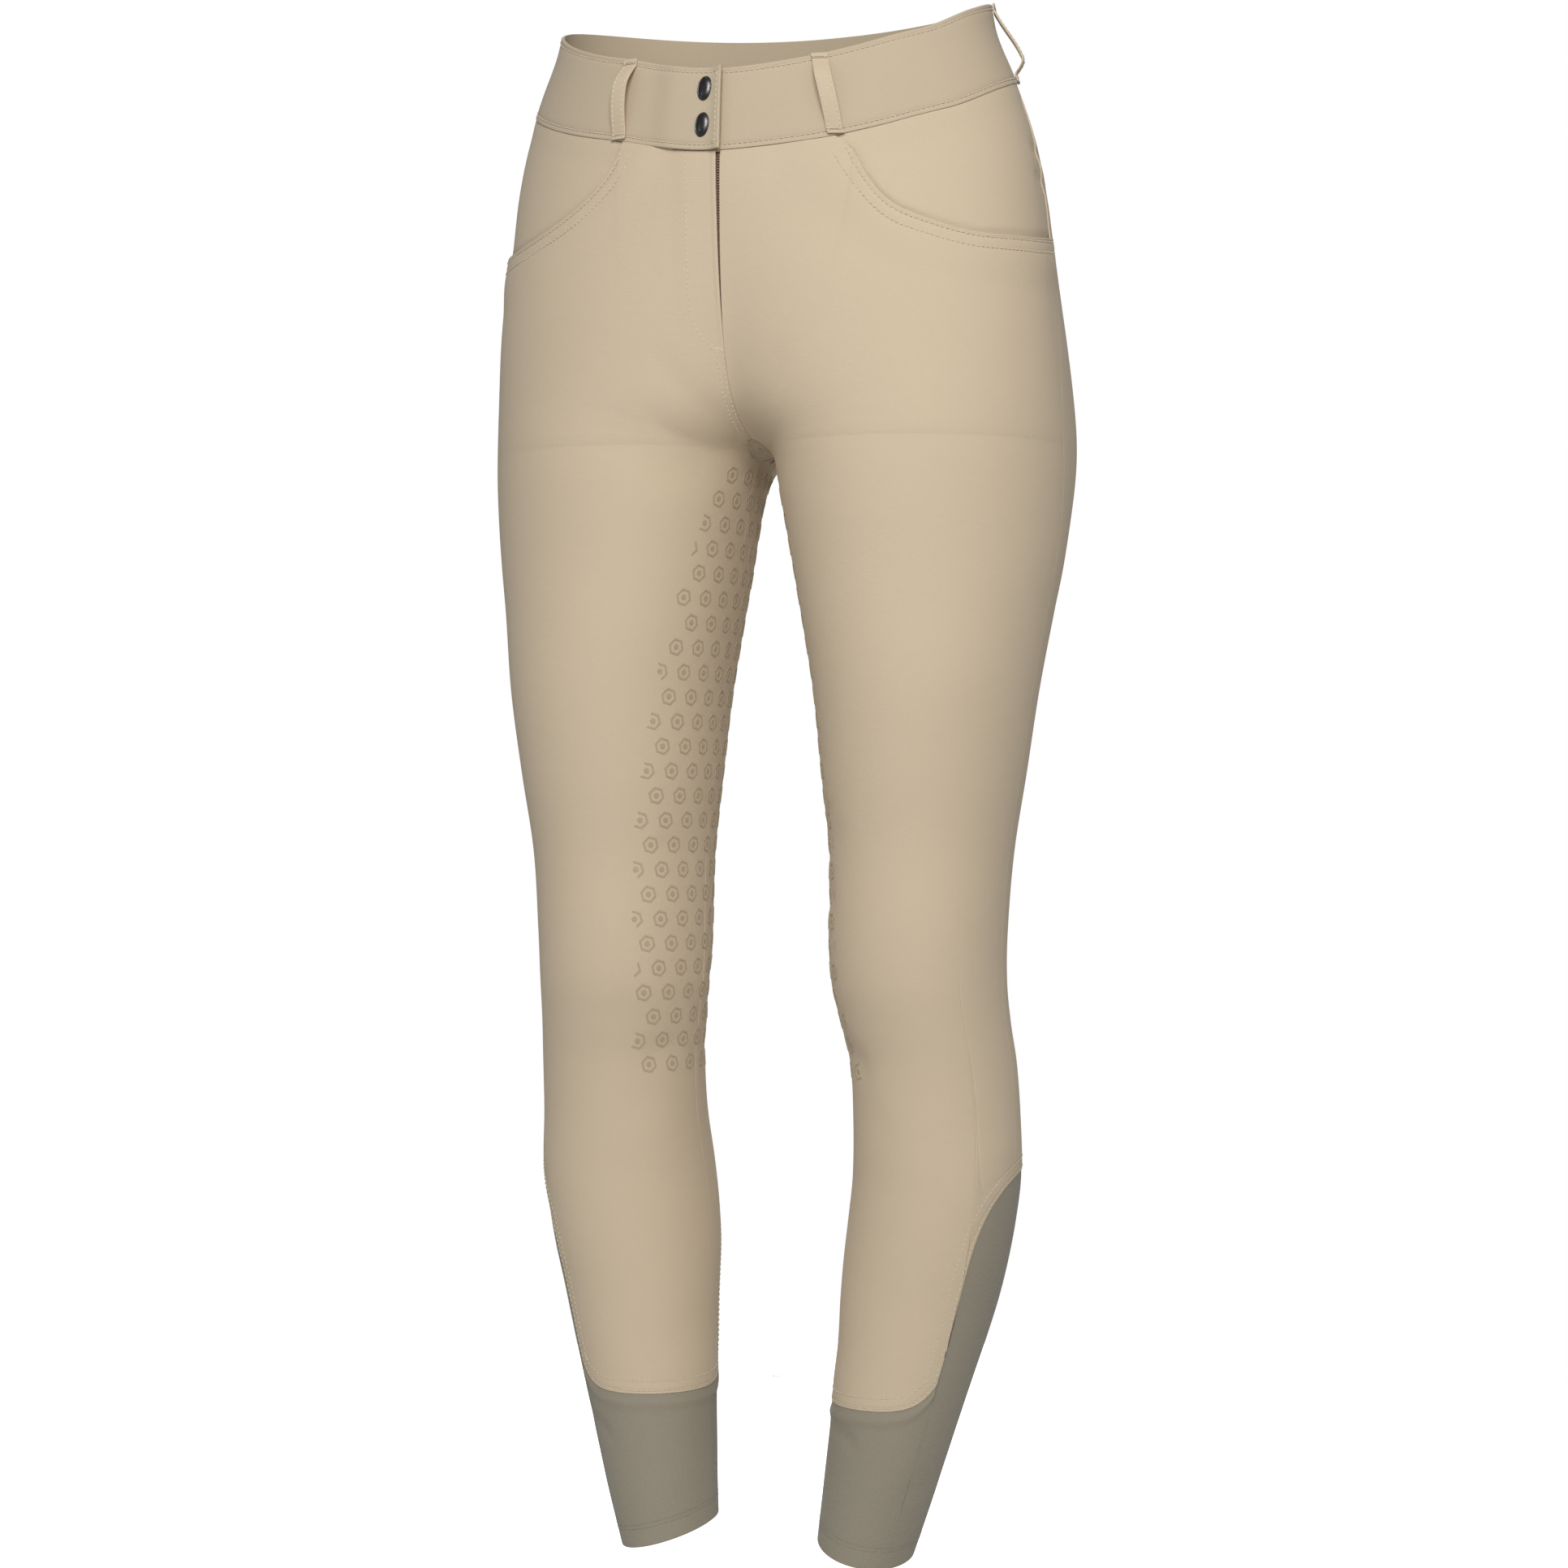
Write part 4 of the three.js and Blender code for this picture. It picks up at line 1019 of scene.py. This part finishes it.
def lay_snap(name, at_round, z):
    """A snap cap: its profile turned round the normal, oval, with a domed middle in a rim."""
    point = form_point(*settled(at_round, z, RIGHT))
    normal = form_normal(point)
    up = unit(np.array([0, 0, 1.0]) - normal * normal[2])
    across = np.cross(up, normal)
    up, across = (up * math.cos(SNAP_TILT) - across * math.sin(SNAP_TILT),
                  across * math.cos(SNAP_TILT) + up * math.sin(SNAP_TILT))
    turn = np.linspace(0, 2 * np.pi, 65)[:-1]
    radius, height = SNAP_PROFILE[1:, 0], SNAP_PROFILE[1:, 1]
    seat = BAND_LIFT + LAP_LIFT + SNAP_GAP
    wide = np.outer(radius, np.cos(turn)) * SNAP_WIDTH / 2
    tall = np.outer(radius, np.sin(turn)) * SNAP_HEIGHT / 2
    ring = (point + wide[..., None] * across + tall[..., None] * up
            + (seat + height)[:, None, None] * normal)
    middles = point + np.outer((seat + SNAP_PROFILE[0, 1], seat), normal)
    points = np.concatenate([ring.reshape(-1, 3), middles])
    piece = write_mesh(f"{name}_cap", points * (-1, 1, 1), tube_faces(*wide.shape), material_for("metal"))
    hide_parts(name)
    return piece


def lay_fly():
    """The underlap tape behind the fly, between the two front edges; lay_zip sets the zip teeth."""
    shares = np.linspace(0, 1, 30)
    rounds = mix(-1.06, -0.94, shares)
    heights = mix(FLY_TOP_Z - SEAM_GAP, FLY_BOTTOM_Z, np.linspace(0, 1, 60))[:, None] + 0 * rounds[None]
    rounds = rounds[None] + 0 * heights

    def under(round_, z, side):
        return -CLOTH_WALL - UNDERLAP_GAP + 0 * z

    tape = lay_cloth("fly_underlap_tape", rounds, heights, under, CLOTH_WALL, material_for("zip"), LEFT, {})
    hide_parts("fly_underlap")
    return tape


# Grip print

HEXAGON_TURNS = np.arange(6) * np.pi / 3


def motif_rings(size, line):
    """A hexagon outline round a small solid hexagon, flat: corner places in mm, and for each
    whether it lies on the cloth or on the print's top."""
    corners = np.stack([np.cos(HEXAGON_TURNS), np.sin(HEXAGON_TURNS)], 1)
    outer, inner, dot = size / 2, size / 2 - line, size * 0.17
    return [(corners * outer, 0), (corners * (outer - 0.1), 1), (corners * (inner + 0.1), 1),
            (corners * inner, 0), (corners * dot, 0), (corners * (dot - 0.12), 1)]


def motif_faces(corners, dots):
    """Faces of all motifs: for each side of a hexagon whose two corners are kept a closed bar, with an
    end face where its neighbour is missing, and for each kept dot a closed hexagonal plate."""
    k = np.arange(6)
    nxt = (k + 1) % 6
    sides = corners & np.roll(corners, -1, 1)
    bars = np.stack([np.stack([6 * a + k, 6 * a + nxt, 6 * b + nxt, 6 * b + k], 1)
                     for a, b in ((0, 1), (1, 2), (2, 3), (3, 0))])
    starts = np.stack([k, k + 6, k + 12, k + 18], 1)
    ends = np.stack([nxt + 18, nxt + 12, nxt + 6, nxt], 1)
    rim = np.stack([24 + k, 24 + nxt, 30 + nxt, 30 + k], 1)
    caps = np.array([[30, 31, 32, 33], [30, 33, 34, 35], [27, 26, 25, 24], [29, 28, 27, 24]])
    plate = np.concatenate([rim, caps])
    first = 36 * np.arange(len(dots))
    found = [bar[None] + first[:, None, None] for bar in bars]
    found = [faces[sides] for faces in found]
    open_start, open_end = sides & ~np.roll(sides, 1, 1), sides & ~np.roll(sides, -1, 1)
    found.append((starts[None] + first[:, None, None])[open_start])
    found.append((ends[None] + first[:, None, None])[open_end])
    found.append((plate[None] + first[dots][:, None, None]).reshape(-1, 4))
    return np.concatenate(found)


def grip_places(pitch):
    """Middles of the motifs in a triangular lattice, as places round and heights: rows one pitch
    times the root of three quarters apart, and along each row one pitch of cloth apart, counted
    from the inseam or the centre back, with every other row moved half a pitch."""
    found = []
    step = pitch * math.sqrt(0.75)
    for number, z in enumerate(np.arange(GRIP_EDGES[0, 0] - 6, GRIP_EDGES[-1, 0], -step)):
        front = np.interp(-z, -GRIP_EDGES[:, 0], GRIP_EDGES[:, 1])
        back = np.interp(-z, -GRIP_EDGES[:, 0], GRIP_EDGES[:, 2])
        shift = pitch / 2 if number % 2 == 0 else pitch
        line = np.linspace(1, 0, 400)
        run = running_length(form_point(line, z + 0 * line)[None], 1)[0]
        ways = np.arange(shift, run[-1], pitch)
        rounds = np.interp(ways, run, line)
        found += [(r, z) for r in rounds if r > back]
        if z < CROTCH_Z + 8:
            line = np.linspace(-1, 0, 400)
            run = running_length(form_point(line, z + 0 * line)[None], 1)[0]
            ways = np.arange(pitch - shift if shift < pitch else 0, run[-1], pitch)
            rounds = np.interp(ways, run, line)
            found += [(r, z) for r in rounds if r < front]
    return np.array(found)


def lay_grip(side):
    """The silicone print on one leg: every motif's corners are laid on the cloth and lifted off it.
    A motif that crosses the print's border keeps the sides of its hexagon that lie within, each with
    closed ends."""
    sizes = bpy.context.scene.breeches_sizes
    size, line = sizes.grip_size / MM, sizes.grip_line / MM
    places = grip_places(sizes.grip_pitch / MM)
    rings = motif_rings(size, line)
    corner_xy = np.concatenate([xy for xy, _ in rings])
    on_top = np.repeat([level for _, level in rings], 6)
    turned = math.radians(15)
    turn = np.array([[math.cos(turned), math.sin(turned)], [-math.sin(turned), math.cos(turned)]])
    corner_xy = corner_xy @ turn
    scale = mm_per_round(places[:, 0], places[:, 1])[:, None]
    rounds = places[:, :1] + corner_xy[None, :, 0] / scale
    heights = places[:, 1:] + corner_xy[None, :, 1] + 0 * rounds
    below = heights < CROTCH_Z
    rounds = np.where(below & (rounds < -1), rounds + 2, rounds)
    rounds = np.where(below & (rounds > 1), rounds - 2, rounds)
    points = form_point(*settled(rounds, heights, side))
    normals = form_normal(points)
    lift = folds(np.clip(rounds, -1, 1), heights, side) + np.where(on_top, sizes.grip_rise / MM, -0.15)[None]
    points = points + normals * lift[..., None]
    edge_round = np.clip(rounds, -1, 1)
    front = np.interp(-heights, -GRIP_EDGES[:, 0], GRIP_EDGES[:, 1])
    if side == LEFT:
        front = front - 0.07 * ease((-330 - heights) / 90) * ease((heights + 690) / 60)
    back = np.interp(-heights, -GRIP_EDGES[:, 0], GRIP_EDGES[:, 2])
    kept = np.where(edge_round > 0, edge_round > back, edge_round < front)
    kept = (kept & (heights > GRIP_EDGES[-1, 0])).reshape(-1, 6, 6)
    faces = motif_faces(kept[:, :4].all(1), kept[:, 4:].all((1, 2)))
    flat = points.reshape(-1, 3)
    if side == RIGHT:
        flat = flat * (-1, 1, 1)
        faces = faces[:, ::-1]
    used, faces = np.unique(faces, return_inverse=True)
    piece = write_mesh(f"grip_print_{SIDE_NAMES[side]}", flat[used], faces.reshape(-1, 4),
                       material_for("grip"), smooth=False)
    return piece


# Lines of sewing

def edge_rows(line_round, line_z, ways, lift, side):
    """Rows of stitches beside a line, at several ways from it."""
    return [cloth_line(*beside(line_round, line_z, way), lift, side) for way in ways]


def lay_sewing(side):
    """All topstitching of one half: the pocket mouth, the cuff seam, the waistband, the hem, the
    crotch seam and the seat seam."""
    mouth = mix(POCKET_START, SIDE_SEAM_BACKWARD - 0.004, 0.5 - 0.5 * np.cos(np.linspace(0.12, np.pi, 160)))
    lines = edge_rows(mouth, pocket_mouth(mouth), [-row for row in MOUTH_ROWS], front_lift, side)
    around = np.linspace(-0.995, 0.995, 1200)
    seam = cuff_seam(around)
    lines += edge_rows(around, seam, CUFF_SEAM_ROWS, folds, side)
    seat = np.concatenate([np.linspace(-45, -225, 60), np.linspace(-228, -268, 40)])
    for way in (1.4, 6.0):
        rounds = 1 - way / mm_per_round(0.995 + 0 * seat, seat)
        lines.append(cloth_line(rounds, seat, folds, side))
    if side == RIGHT:
        crotch = np.concatenate([np.linspace(FLY_BOTTOM_Z - 4, -240, 20), np.linspace(-241, -270, 50)])
        for way in (1.2, 4.8):
            rounds = -1 + way / mm_per_round(-0.995 + 0 * crotch, crotch)
            lines.append(cloth_line(rounds, crotch, front_lift, side))
    piece = sew(f"topstitching_{SIDE_NAMES[side]}", lines, material_for("thread"))
    first = -1 - LAP_END + 0.012 if side == RIGHT else -0.985
    band = np.linspace(first, 0.998, 500)
    folded = np.where(band < -1, -2 - band, band)
    rows = [cloth_line(band, waist_top(folded) - BAND_ROW, band_lift, side),
            cloth_line(band, waist_seam(folded) + BAND_ROW, band_lift, side)]
    if side == RIGHT:
        drop = np.linspace(waist_top(-1) - BAND_ROW, waist_seam(-1) + BAND_ROW, 40)
        rows.append(cloth_line(first + 0 * drop, drop, band_lift, side))
    sew(f"band_stitching_{SIDE_NAMES[side]}", rows, material_for("thread"))
    hem = np.linspace(-1, 1, 400)
    rows = [cloth_line(hem, hem_edge(hem) + up, cuff_lift, side) for up in HEM_ROWS]
    sew(f"hem_stitching_{SIDE_NAMES[side]}", rows, material_for("cuff_thread"), length=2.2, pitch=2.6,
        width=0.4)
    return piece


def lay_fly_sewing():
    """The curved fly stitching and the bar tacks at its foot."""
    straight = np.linspace(FLY_TOP_Z - 2, FLY_BOTTOM_Z + FLY_CURVE_RISE, 40)
    turn = np.linspace(0, np.pi / 2, 30)[1:]
    across = np.concatenate([np.full(40, FLY_WIDTH), FLY_WIDTH * np.cos(turn)])
    curve = FLY_BOTTOM_Z + FLY_CURVE_RISE - FLY_CURVE_DROP * np.sin(turn)
    down = np.concatenate([straight, curve])
    rounds = -1 + across / mm_per_round(-0.95 + 0 * down, down)
    lines = [cloth_line(rounds, down, front_lift, RIGHT)]
    sew("fly_stitching", lines, material_for("thread"))
    ways = np.linspace(-2.0, 9.5, 30)
    rounds = -1 + ways / mm_per_round(-0.98, FLY_BOTTOM_Z)
    tacks = [cloth_line(rounds, FLY_BOTTOM_Z - 5 + 0.15 * ways + off, front_lift, RIGHT)
             for off in (-0.5, 0, 0.5)]
    sew("fly_bar_tacks", tacks, material_for("thread"), length=1.0, pitch=0.7, width=0.5)


def lay_loop_sewing():
    """Two rows of stitches down each belt loop, and its bar tacks."""
    rows, tacks = [], []
    for loop in LOOPS:
        for across in (-LOOP_ROW, LOOP_ROW):
            rows.append(loop_line(loop, np.linspace(0.02, 0.98, 60), across))
        for share in (0.045, 0.06, 0.94, 0.955):
            tacks.append(loop_line(loop, share, np.linspace(-0.46, 0.46, 30)))
    sew("loop_stitching", rows, material_for("thread"), pitch=2.8)
    sew("loop_bar_tacks", tacks, material_for("thread"), length=0.9, pitch=0.65, width=0.55)


def lay_zip():
    """Zip teeth: two columns of small blocks that meet behind the fly opening."""
    z = np.arange(FLY_TOP_Z - 3, FLY_BOTTOM_Z + 6, -1.6)
    blocks = []
    for side, shift in ((LEFT, 0.0), (RIGHT, 0.8)):
        across = np.array([0.1, 2.3])
        corners = np.array([(x, dz, dy) for x in across for dz in (-0.45, 0.45) for dy in (-1.75, -0.75)])
        rounds = -1 + side * corners[None, :, 0] / mm_per_round(-0.98, z)[:, None]
        heights = z[:, None] + shift + corners[None, :, 1]
        points = form_point(rounds, heights)
        points = points + np.array([0, -1.0, 0]) * corners[None, :, 2:3]
        blocks.append(points.reshape(-1, 3))
    points = np.concatenate(blocks)
    pattern = np.array([(0, 1, 3, 2), (4, 6, 7, 5), (0, 4, 5, 1), (2, 3, 7, 6), (0, 2, 6, 4), (1, 5, 7, 3)])
    faces = (np.arange(len(points) // 8)[:, None, None] * 8 + pattern[None]).reshape(-1, 4)
    piece = write_mesh("zip_teeth", points, faces, material_for("zip"), smooth=False)
    outward(piece)
    return piece


def outward(piece):
    """Turns the faces of closed blocks outward."""
    bpy.context.view_layer.objects.active = piece
    piece.select_set(True)
    bpy.ops.object.mode_set(mode="EDIT")
    bpy.ops.mesh.select_all(action="SELECT")
    bpy.ops.mesh.normals_make_consistent(inside=False)
    bpy.ops.object.mode_set(mode="OBJECT")
    piece.select_set(False)


# Settings

def length_setting(name, description, default):
    """A length in metres that a user would change."""
    return bpy.props.FloatProperty(name=name, description=description, default=default, unit="LENGTH")


def colour_setting(name, description, default):
    """A colour that a user would change."""
    return bpy.props.FloatVectorProperty(
        name=name, description=description, default=default, subtype="COLOR", min=0, max=1)


class BREECHES_PG_sizes(bpy.types.PropertyGroup):
    """Sizes that a user would change."""

    loop_width: length_setting("Loop Width", "Width of each belt loop", 0.01)
    grip_pitch: length_setting("Grip Pitch", "Way between the middles of neighbouring grip motifs", 0.0176)
    grip_size: length_setting("Grip Size", "Size of each grip motif from corner to corner", 0.0112)
    grip_line: length_setting("Grip Line", "Width of the grip motifs' lines", 0.0014)
    grip_rise: length_setting("Grip Rise", "Height of the grip print over the cloth", 0.0003)


class BREECHES_PG_colours(bpy.types.PropertyGroup):
    """Colours that a user would change."""

    cloth: colour_setting("Cloth", "Beige stretch cloth", (0.56, 0.455, 0.32))
    cuff: colour_setting("Cuff", "Grey-olive cuff jersey", (0.275, 0.243, 0.183))
    thread: colour_setting("Thread", "Sewing thread on the cloth", (0.66, 0.555, 0.41))
    zip: colour_setting("Zip", "Zip tape and teeth", (0.23, 0.13, 0.085))
    metal: colour_setting("Metal", "Snap caps", (0.07, 0.067, 0.066))
    grip: colour_setting("Grip", "Silicone grip print", (0.42, 0.34, 0.235))


# Operators

class BREECHES_OT_panels(bpy.types.Operator):
    """Lay the four leg panels and the two pocket facings"""

    bl_idname = "breeches.panels"
    bl_label = "Leg Panels"

    def execute(self, context):
        for side in (RIGHT, LEFT):
            lay_front(side)
            lay_back(side)
            lay_facing(side)
        return {"FINISHED"}


class BREECHES_OT_waistband(bpy.types.Operator):
    """Lay the two halves of the waistband"""

    bl_idname = "breeches.waistband"
    bl_label = "Waistband"

    def execute(self, context):
        for side in (RIGHT, LEFT):
            lay_waistband(side)
        return {"FINISHED"}


class BREECHES_OT_belt_loops(bpy.types.Operator):
    """Lay the five belt loops"""

    bl_idname = "breeches.belt_loops"
    bl_label = "Belt Loops"

    def execute(self, context):
        for loop in LOOPS:
            lay_belt_loop(loop)
        return {"FINISHED"}


class BREECHES_OT_cuffs(bpy.types.Operator):
    """Lay the two ankle cuffs"""

    bl_idname = "breeches.cuffs"
    bl_label = "Ankle Cuffs"

    def execute(self, context):
        for side in (RIGHT, LEFT):
            lay_cuff(side)
        return {"FINISHED"}


class BREECHES_OT_fly(bpy.types.Operator):
    """Lay the fly underlap and the zip"""

    bl_idname = "breeches.fly"
    bl_label = "Fly"

    def execute(self, context):
        lay_fly()
        lay_zip()
        return {"FINISHED"}


class BREECHES_OT_snaps(bpy.types.Operator):
    """Set the two snap caps"""

    bl_idname = "breeches.snaps"
    bl_label = "Snap Caps"

    def execute(self, context):
        for name, at_round, z in SNAPS:
            lay_snap(name, at_round, z)
        return {"FINISHED"}


class BREECHES_OT_sewing(bpy.types.Operator):
    """Sew the topstitching and bar tacks"""

    bl_idname = "breeches.sewing"
    bl_label = "Sewing"

    def execute(self, context):
        for side in (RIGHT, LEFT):
            lay_sewing(side)
        lay_fly_sewing()
        lay_loop_sewing()
        return {"FINISHED"}


class BREECHES_OT_grip(bpy.types.Operator):
    """Print the silicone grip on the seat and the inner legs"""

    bl_idname = "breeches.grip"
    bl_label = "Grip Print"

    def execute(self, context):
        for side in (RIGHT, LEFT):
            lay_grip(side)
        return {"FINISHED"}


CAMERA_AZIMUTH = 21
CAMERA_AWAY = 2.0
CAMERA_HEIGHT = -0.478
CAMERA_ASIDE = 0.0034
METRES_PER_PIXEL = 0.00051
PHOTO_WIDTH = 1932
SENSOR = 36
FLOOR_Z = -1.02
FLOOR_RADIUS = 1.1
AMBIENT = 0.29

# Lights: name, power in watts, width of the square, place, target and colour
WHITE = (1, 1, 1)
LIGHTS = (
    ("key", 38.6, 1.0, (0.66, -1.87, 0.7), (0, 0, -0.38), WHITE),
    ("back_fill", 26, 1.0, (-0.7, 1.9, 0.5), (0, 0, -0.4), WHITE),
    ("side_strip", 1.6, 0.5, (1.6, -0.9, 0.0), (0, 0, -0.3), WHITE),
    ("cool_side", 1.2, 0.4, (-1.0, -1.5, 0.1), (0, 0, -0.1), (0.75, 0.87, 1.0)),
)


class BREECHES_OT_stage(bpy.types.Operator):
    """Set up the camera, the lights and the pale floor"""

    bl_idname = "breeches.stage"
    bl_label = "Stage"

    def execute(self, context):
        turn = math.radians(CAMERA_AZIMUTH)
        camera = bpy.data.cameras.new("camera")
        camera.sensor_width = SENSOR
        camera.lens = SENSOR * CAMERA_AWAY / (METRES_PER_PIXEL * PHOTO_WIDTH)
        camera.clip_start, camera.clip_end = 0.05, 50
        holder = bpy.data.objects.new("camera", camera)
        context.scene.collection.objects.link(holder)
        ahead = np.array([-math.sin(turn), math.cos(turn), 0])
        aside = np.array([math.cos(turn), math.sin(turn), 0])
        place = np.array([0, 0, CAMERA_HEIGHT]) - CAMERA_AWAY * ahead + CAMERA_ASIDE * aside
        holder.location = place
        holder.rotation_euler = (math.pi / 2, 0, turn)
        context.scene.camera = holder
        for light in LIGHTS:
            add_light(context, *light)
        world = context.scene.world or bpy.data.worlds.new("studio")
        context.scene.world = world
        world.use_nodes = True
        sky = world.node_tree.nodes["Background"]
        sky.inputs["Color"].default_value = (1, 1, 1, 1)
        seen = world.node_tree.nodes.new("ShaderNodeLightPath").outputs["Is Camera Ray"]
        strength = world.node_tree.nodes.new("ShaderNodeMapRange")
        strength.inputs["To Min"].default_value = AMBIENT
        world.node_tree.links.new(seen, strength.inputs["Value"])
        world.node_tree.links.new(strength.outputs["Result"], sky.inputs["Strength"])
        context.scene.view_settings.view_transform = "Standard"
        turns = np.linspace(0, 2 * np.pi, 97)[:-1]
        rim = np.stack([np.cos(turns), np.sin(turns), 0 * turns], 1) * FLOOR_RADIUS
        rim[:, 2] = FLOOR_Z
        mesh = bpy.data.meshes.new("floor")
        mesh.from_pydata(rim.tolist(), [], [list(range(len(rim)))])
        mesh.materials.append(material_for("stage"))
        floor = bpy.data.objects.new("floor", mesh)
        context.scene.collection.objects.link(floor)
        return {"FINISHED"}


def add_light(context, name, energy, size, place, target, colour):
    """A square area light at a place, turned to face a target."""
    light = bpy.data.lights.new(name, "AREA")
    light.shape = "SQUARE"
    light.size = size
    light.energy = energy
    light.color = colour
    holder = bpy.data.objects.new(name, light)
    holder.location = place
    way = Vector(target) - Vector(place)
    holder.rotation_euler = way.to_track_quat("-Z", "Y").to_euler()
    context.scene.collection.objects.link(holder)


# Panel and registration

OPERATORS = (
    BREECHES_OT_stage,
    BREECHES_OT_panels,
    BREECHES_OT_waistband,
    BREECHES_OT_belt_loops,
    BREECHES_OT_cuffs,
    BREECHES_OT_fly,
    BREECHES_OT_snaps,
    BREECHES_OT_sewing,
    BREECHES_OT_grip,
)


class BREECHES_PT_sidebar(bpy.types.Panel):
    """Buttons and settings in the 3D view's sidebar"""

    bl_idname = "BREECHES_PT_sidebar"
    bl_label = "Riding Breeches"
    bl_space_type = "VIEW_3D"
    bl_region_type = "UI"
    bl_category = "Breeches"

    def draw(self, context):
        for operator in OPERATORS:
            self.layout.operator(operator.bl_idname)
        for group in (context.scene.breeches_sizes, context.scene.breeches_colours):
            for name in group.__annotations__:
                self.layout.prop(group, name)


CLASSES = (BREECHES_PG_sizes, BREECHES_PG_colours, *OPERATORS, BREECHES_PT_sidebar)


def register():
    """Registers the classes and hangs the settings on the scene."""
    for item in CLASSES:
        bpy.utils.register_class(item)
    bpy.types.Scene.breeches_sizes = bpy.props.PointerProperty(type=BREECHES_PG_sizes)
    bpy.types.Scene.breeches_colours = bpy.props.PointerProperty(type=BREECHES_PG_colours)


def unregister():
    """Takes the settings and the classes away again."""
    del bpy.types.Scene.breeches_colours
    del bpy.types.Scene.breeches_sizes
    for item in reversed(CLASSES):
        bpy.utils.unregister_class(item)


def main():
    register()
    for operator in OPERATORS:
        group, name = operator.bl_idname.split(".")
        getattr(getattr(bpy.ops, group), name)()


if __name__ == "__main__":
    main()
